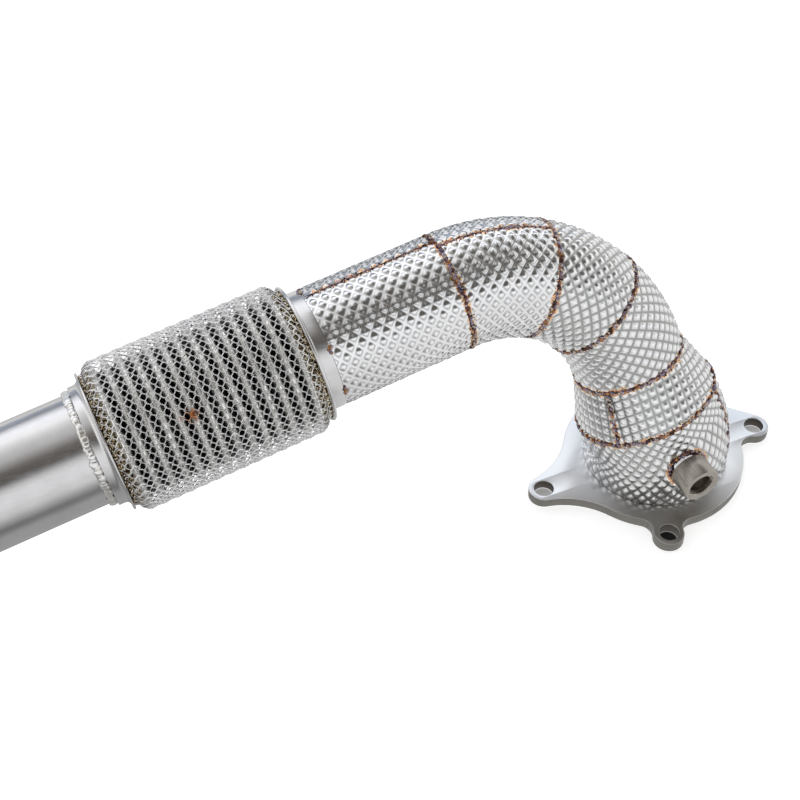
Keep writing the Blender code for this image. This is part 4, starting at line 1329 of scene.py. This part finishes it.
odd = KNIT.stored("course").math("MODULO", 2.0) * math.pi
wander = KNIT.add("TexNoise", spot.vector("SCALE", 1.3), 2.0, 1.0, 0.5)
phase = turn * KNIT["Stitches"] + odd + wander * KNIT["Seed"]
wave = phase.math("SINE")
level = z + (wave + (phase * 3.0).math("SINE") * -0.09) * KNIT["Swing"]
from_end = level.math("MINIMUM", KNIT["Length"] - level)
share = KNIT.add("Clamp", 1.0 - (from_end - KNIT["Start"]) / KNIT["Shoulder"])
flank = (1.0 - share * share).math("SQRT")
ripple = (((level - FIRST_CREST) * TO_PHASE).math("COSINE") - 1.0) * CREST_PRINT
radius = KNIT["Barrel"] - (1.0 - flank) * KNIT["Drop"] + wave * KNIT["Weave"] + ripple
placed = KNIT.add("CombineXYZ", turn.math("COSINE") * radius, turn.math("SINE") * radius, level)
rings = KNIT.add("SetPosition", rings, None, placed)
section = KNIT.add("CurvePrimitiveCircle", 3, KNIT["Wire"], mode="RADIUS")
KNIT.give_mesh(KNIT.add("SetShadeSmooth", KNIT.add("CurveToMesh", rings, section)))

# %% Knit finish: each wire is painted bright where it faces out, and painted dark on its flanks and underside: painted light and shade
KNIT_WIRE, tree = new_material("knitted_wire", 0.36, 0.6)
place = tree.place()
cloud = tree.add("TexNoise", place, 90.0, 3.0, 0.6)
clean = cloud.vary(0.0, 1.0).blend(1.0, (0.93, 0.93, 0.94))
coupling_axis = tuple(FRONT.col[2].xyz)
spoke = place.vector("SUBTRACT", tuple(FRONT.translation)).vector("CROSS_PRODUCT", coupling_axis)
spoke = tree.add("VectorMath", coupling_axis, spoke, operation="CROSS_PRODUCT").vector("NORMALIZE")
# Painted light and shade: wire faces turned away from the coupling's axis are painted bright, the others
# dark.
outward_painted_light = spoke.vector("DOT_PRODUCT", tree.add("TexCoord")["Normal"]).remap(-0.45, 0.55)
rusty_paint(tree, outward_painted_light.blend(0.20, clean), (0.80, 0.36, 0.13))

# %% The sock
sock = grown("knitted_sock", KNIT, Seed=1.2, Wire=0.42 * MM, Finish=KNIT_WIRE)
sock.data.transform(FRONT)
hand_in(outward(sock), "knit_steel", "flex_knit_cover")

# %% [markdown]
# ## Knit hems
#
# At each lip the sock is folded double and clamped, so its loops are crushed into a dense, straw-coloured
# band. A plain ring carries a scatter of small crushed loops, which a tree sets on its faces at random.

# %% Hem tree
CRUSHED = new_tree(
    "crushed_loops", "Geometry", MESH_OUT,
    Geometry="Geometry", Density=0.7e6, Length=0.0013, Wire=0.00045, Seed=1, Finish="Material",
)
ground, seed = CRUSHED["Geometry"], CRUSHED["Seed"]
spread = CRUSHED.add("DistributePointsOnFaces", ground, None, CRUSHED["Density"], seed)
loop = CRUSHED.add("MeshIcoSphere", 1.0, 1)
size = CRUSHED.add("CombineXYZ", CRUSHED["Length"], CRUSHED["Wire"], CRUSHED["Wire"])
spin = CRUSHED.add("RandomValue", (0, 0, -3.0), (0, 0, 3.0), None, seed, data_type="FLOAT_VECTOR")
twist = CRUSHED.add("AlignRotationToVector", None, 1.0, spread["Normal"], axis="Z")
twist = CRUSHED.add("RotateRotation", twist, spin, rotation_space="LOCAL")
loops = CRUSHED.add("InstanceOnPoints", spread, None, loop, None, None, twist, size)
loops = CRUSHED.add("SetMaterial", CRUSHED.tinted(loops), None, CRUSHED["Finish"])
both = CRUSHED.add("JoinGeometry", loops)
CRUSHED.link(ground, both.socket.node.inputs[0])
CRUSHED.give(Geometry=both)

# %% Hem finishes
HEM_GROUND, tree = new_material("hem_shadow", 0.6)
speckle = tree.add("TexNoise", tree.place(), 900.0, 2.0, 0.6)
tree.paint(speckle.ramp((0.4, (0.04, 0.03, 0.02)), (0.6, (0.14, 0.11, 0.07))))
HEM_WIRE, tree = new_material("tinted_wire_hem", 0.32)
tree.paint(tree.read("tint").ramp(
    (0.15, (0.03, 0.02, 0.01)), (0.4, (0.45, 0.33, 0.17)), (0.6, (0.95, 0.80, 0.50)),
    (1.0, (1.0, 0.98, 0.92)),
))

# %% Hems
HEM_THICKNESS = 3.6 * MM
HEM_FLARE = 0.8 * MM
hem_in = COLLAR_R + CLEARANCE
hem_out = hem_in + HEM_THICKNESS
hem_outline = [
    (hem_in, HEM_START), (hem_out, HEM_START), (hem_out + HEM_FLARE, HEM_END), (hem_in, HEM_END)
]
for number, (name, place) in enumerate((("front", FRONT), ("rear", FLIPPED_REAR))):
    hem = turned(f"{name}_hem", hem_outline, place, HEM_GROUND, edge=0)
    grow(hem, CRUSHED, Seed=60 + number, Finish=HEM_WIRE)
    hand_in(settle(hem), "hem_steel", f"{name}_knit_hem")

# %% Carried-over blanket
blanket = frame["nodes"]["insulation_blanket"]
blanket.data.materials.clear()
blanket.data.materials.append(FIBRE)
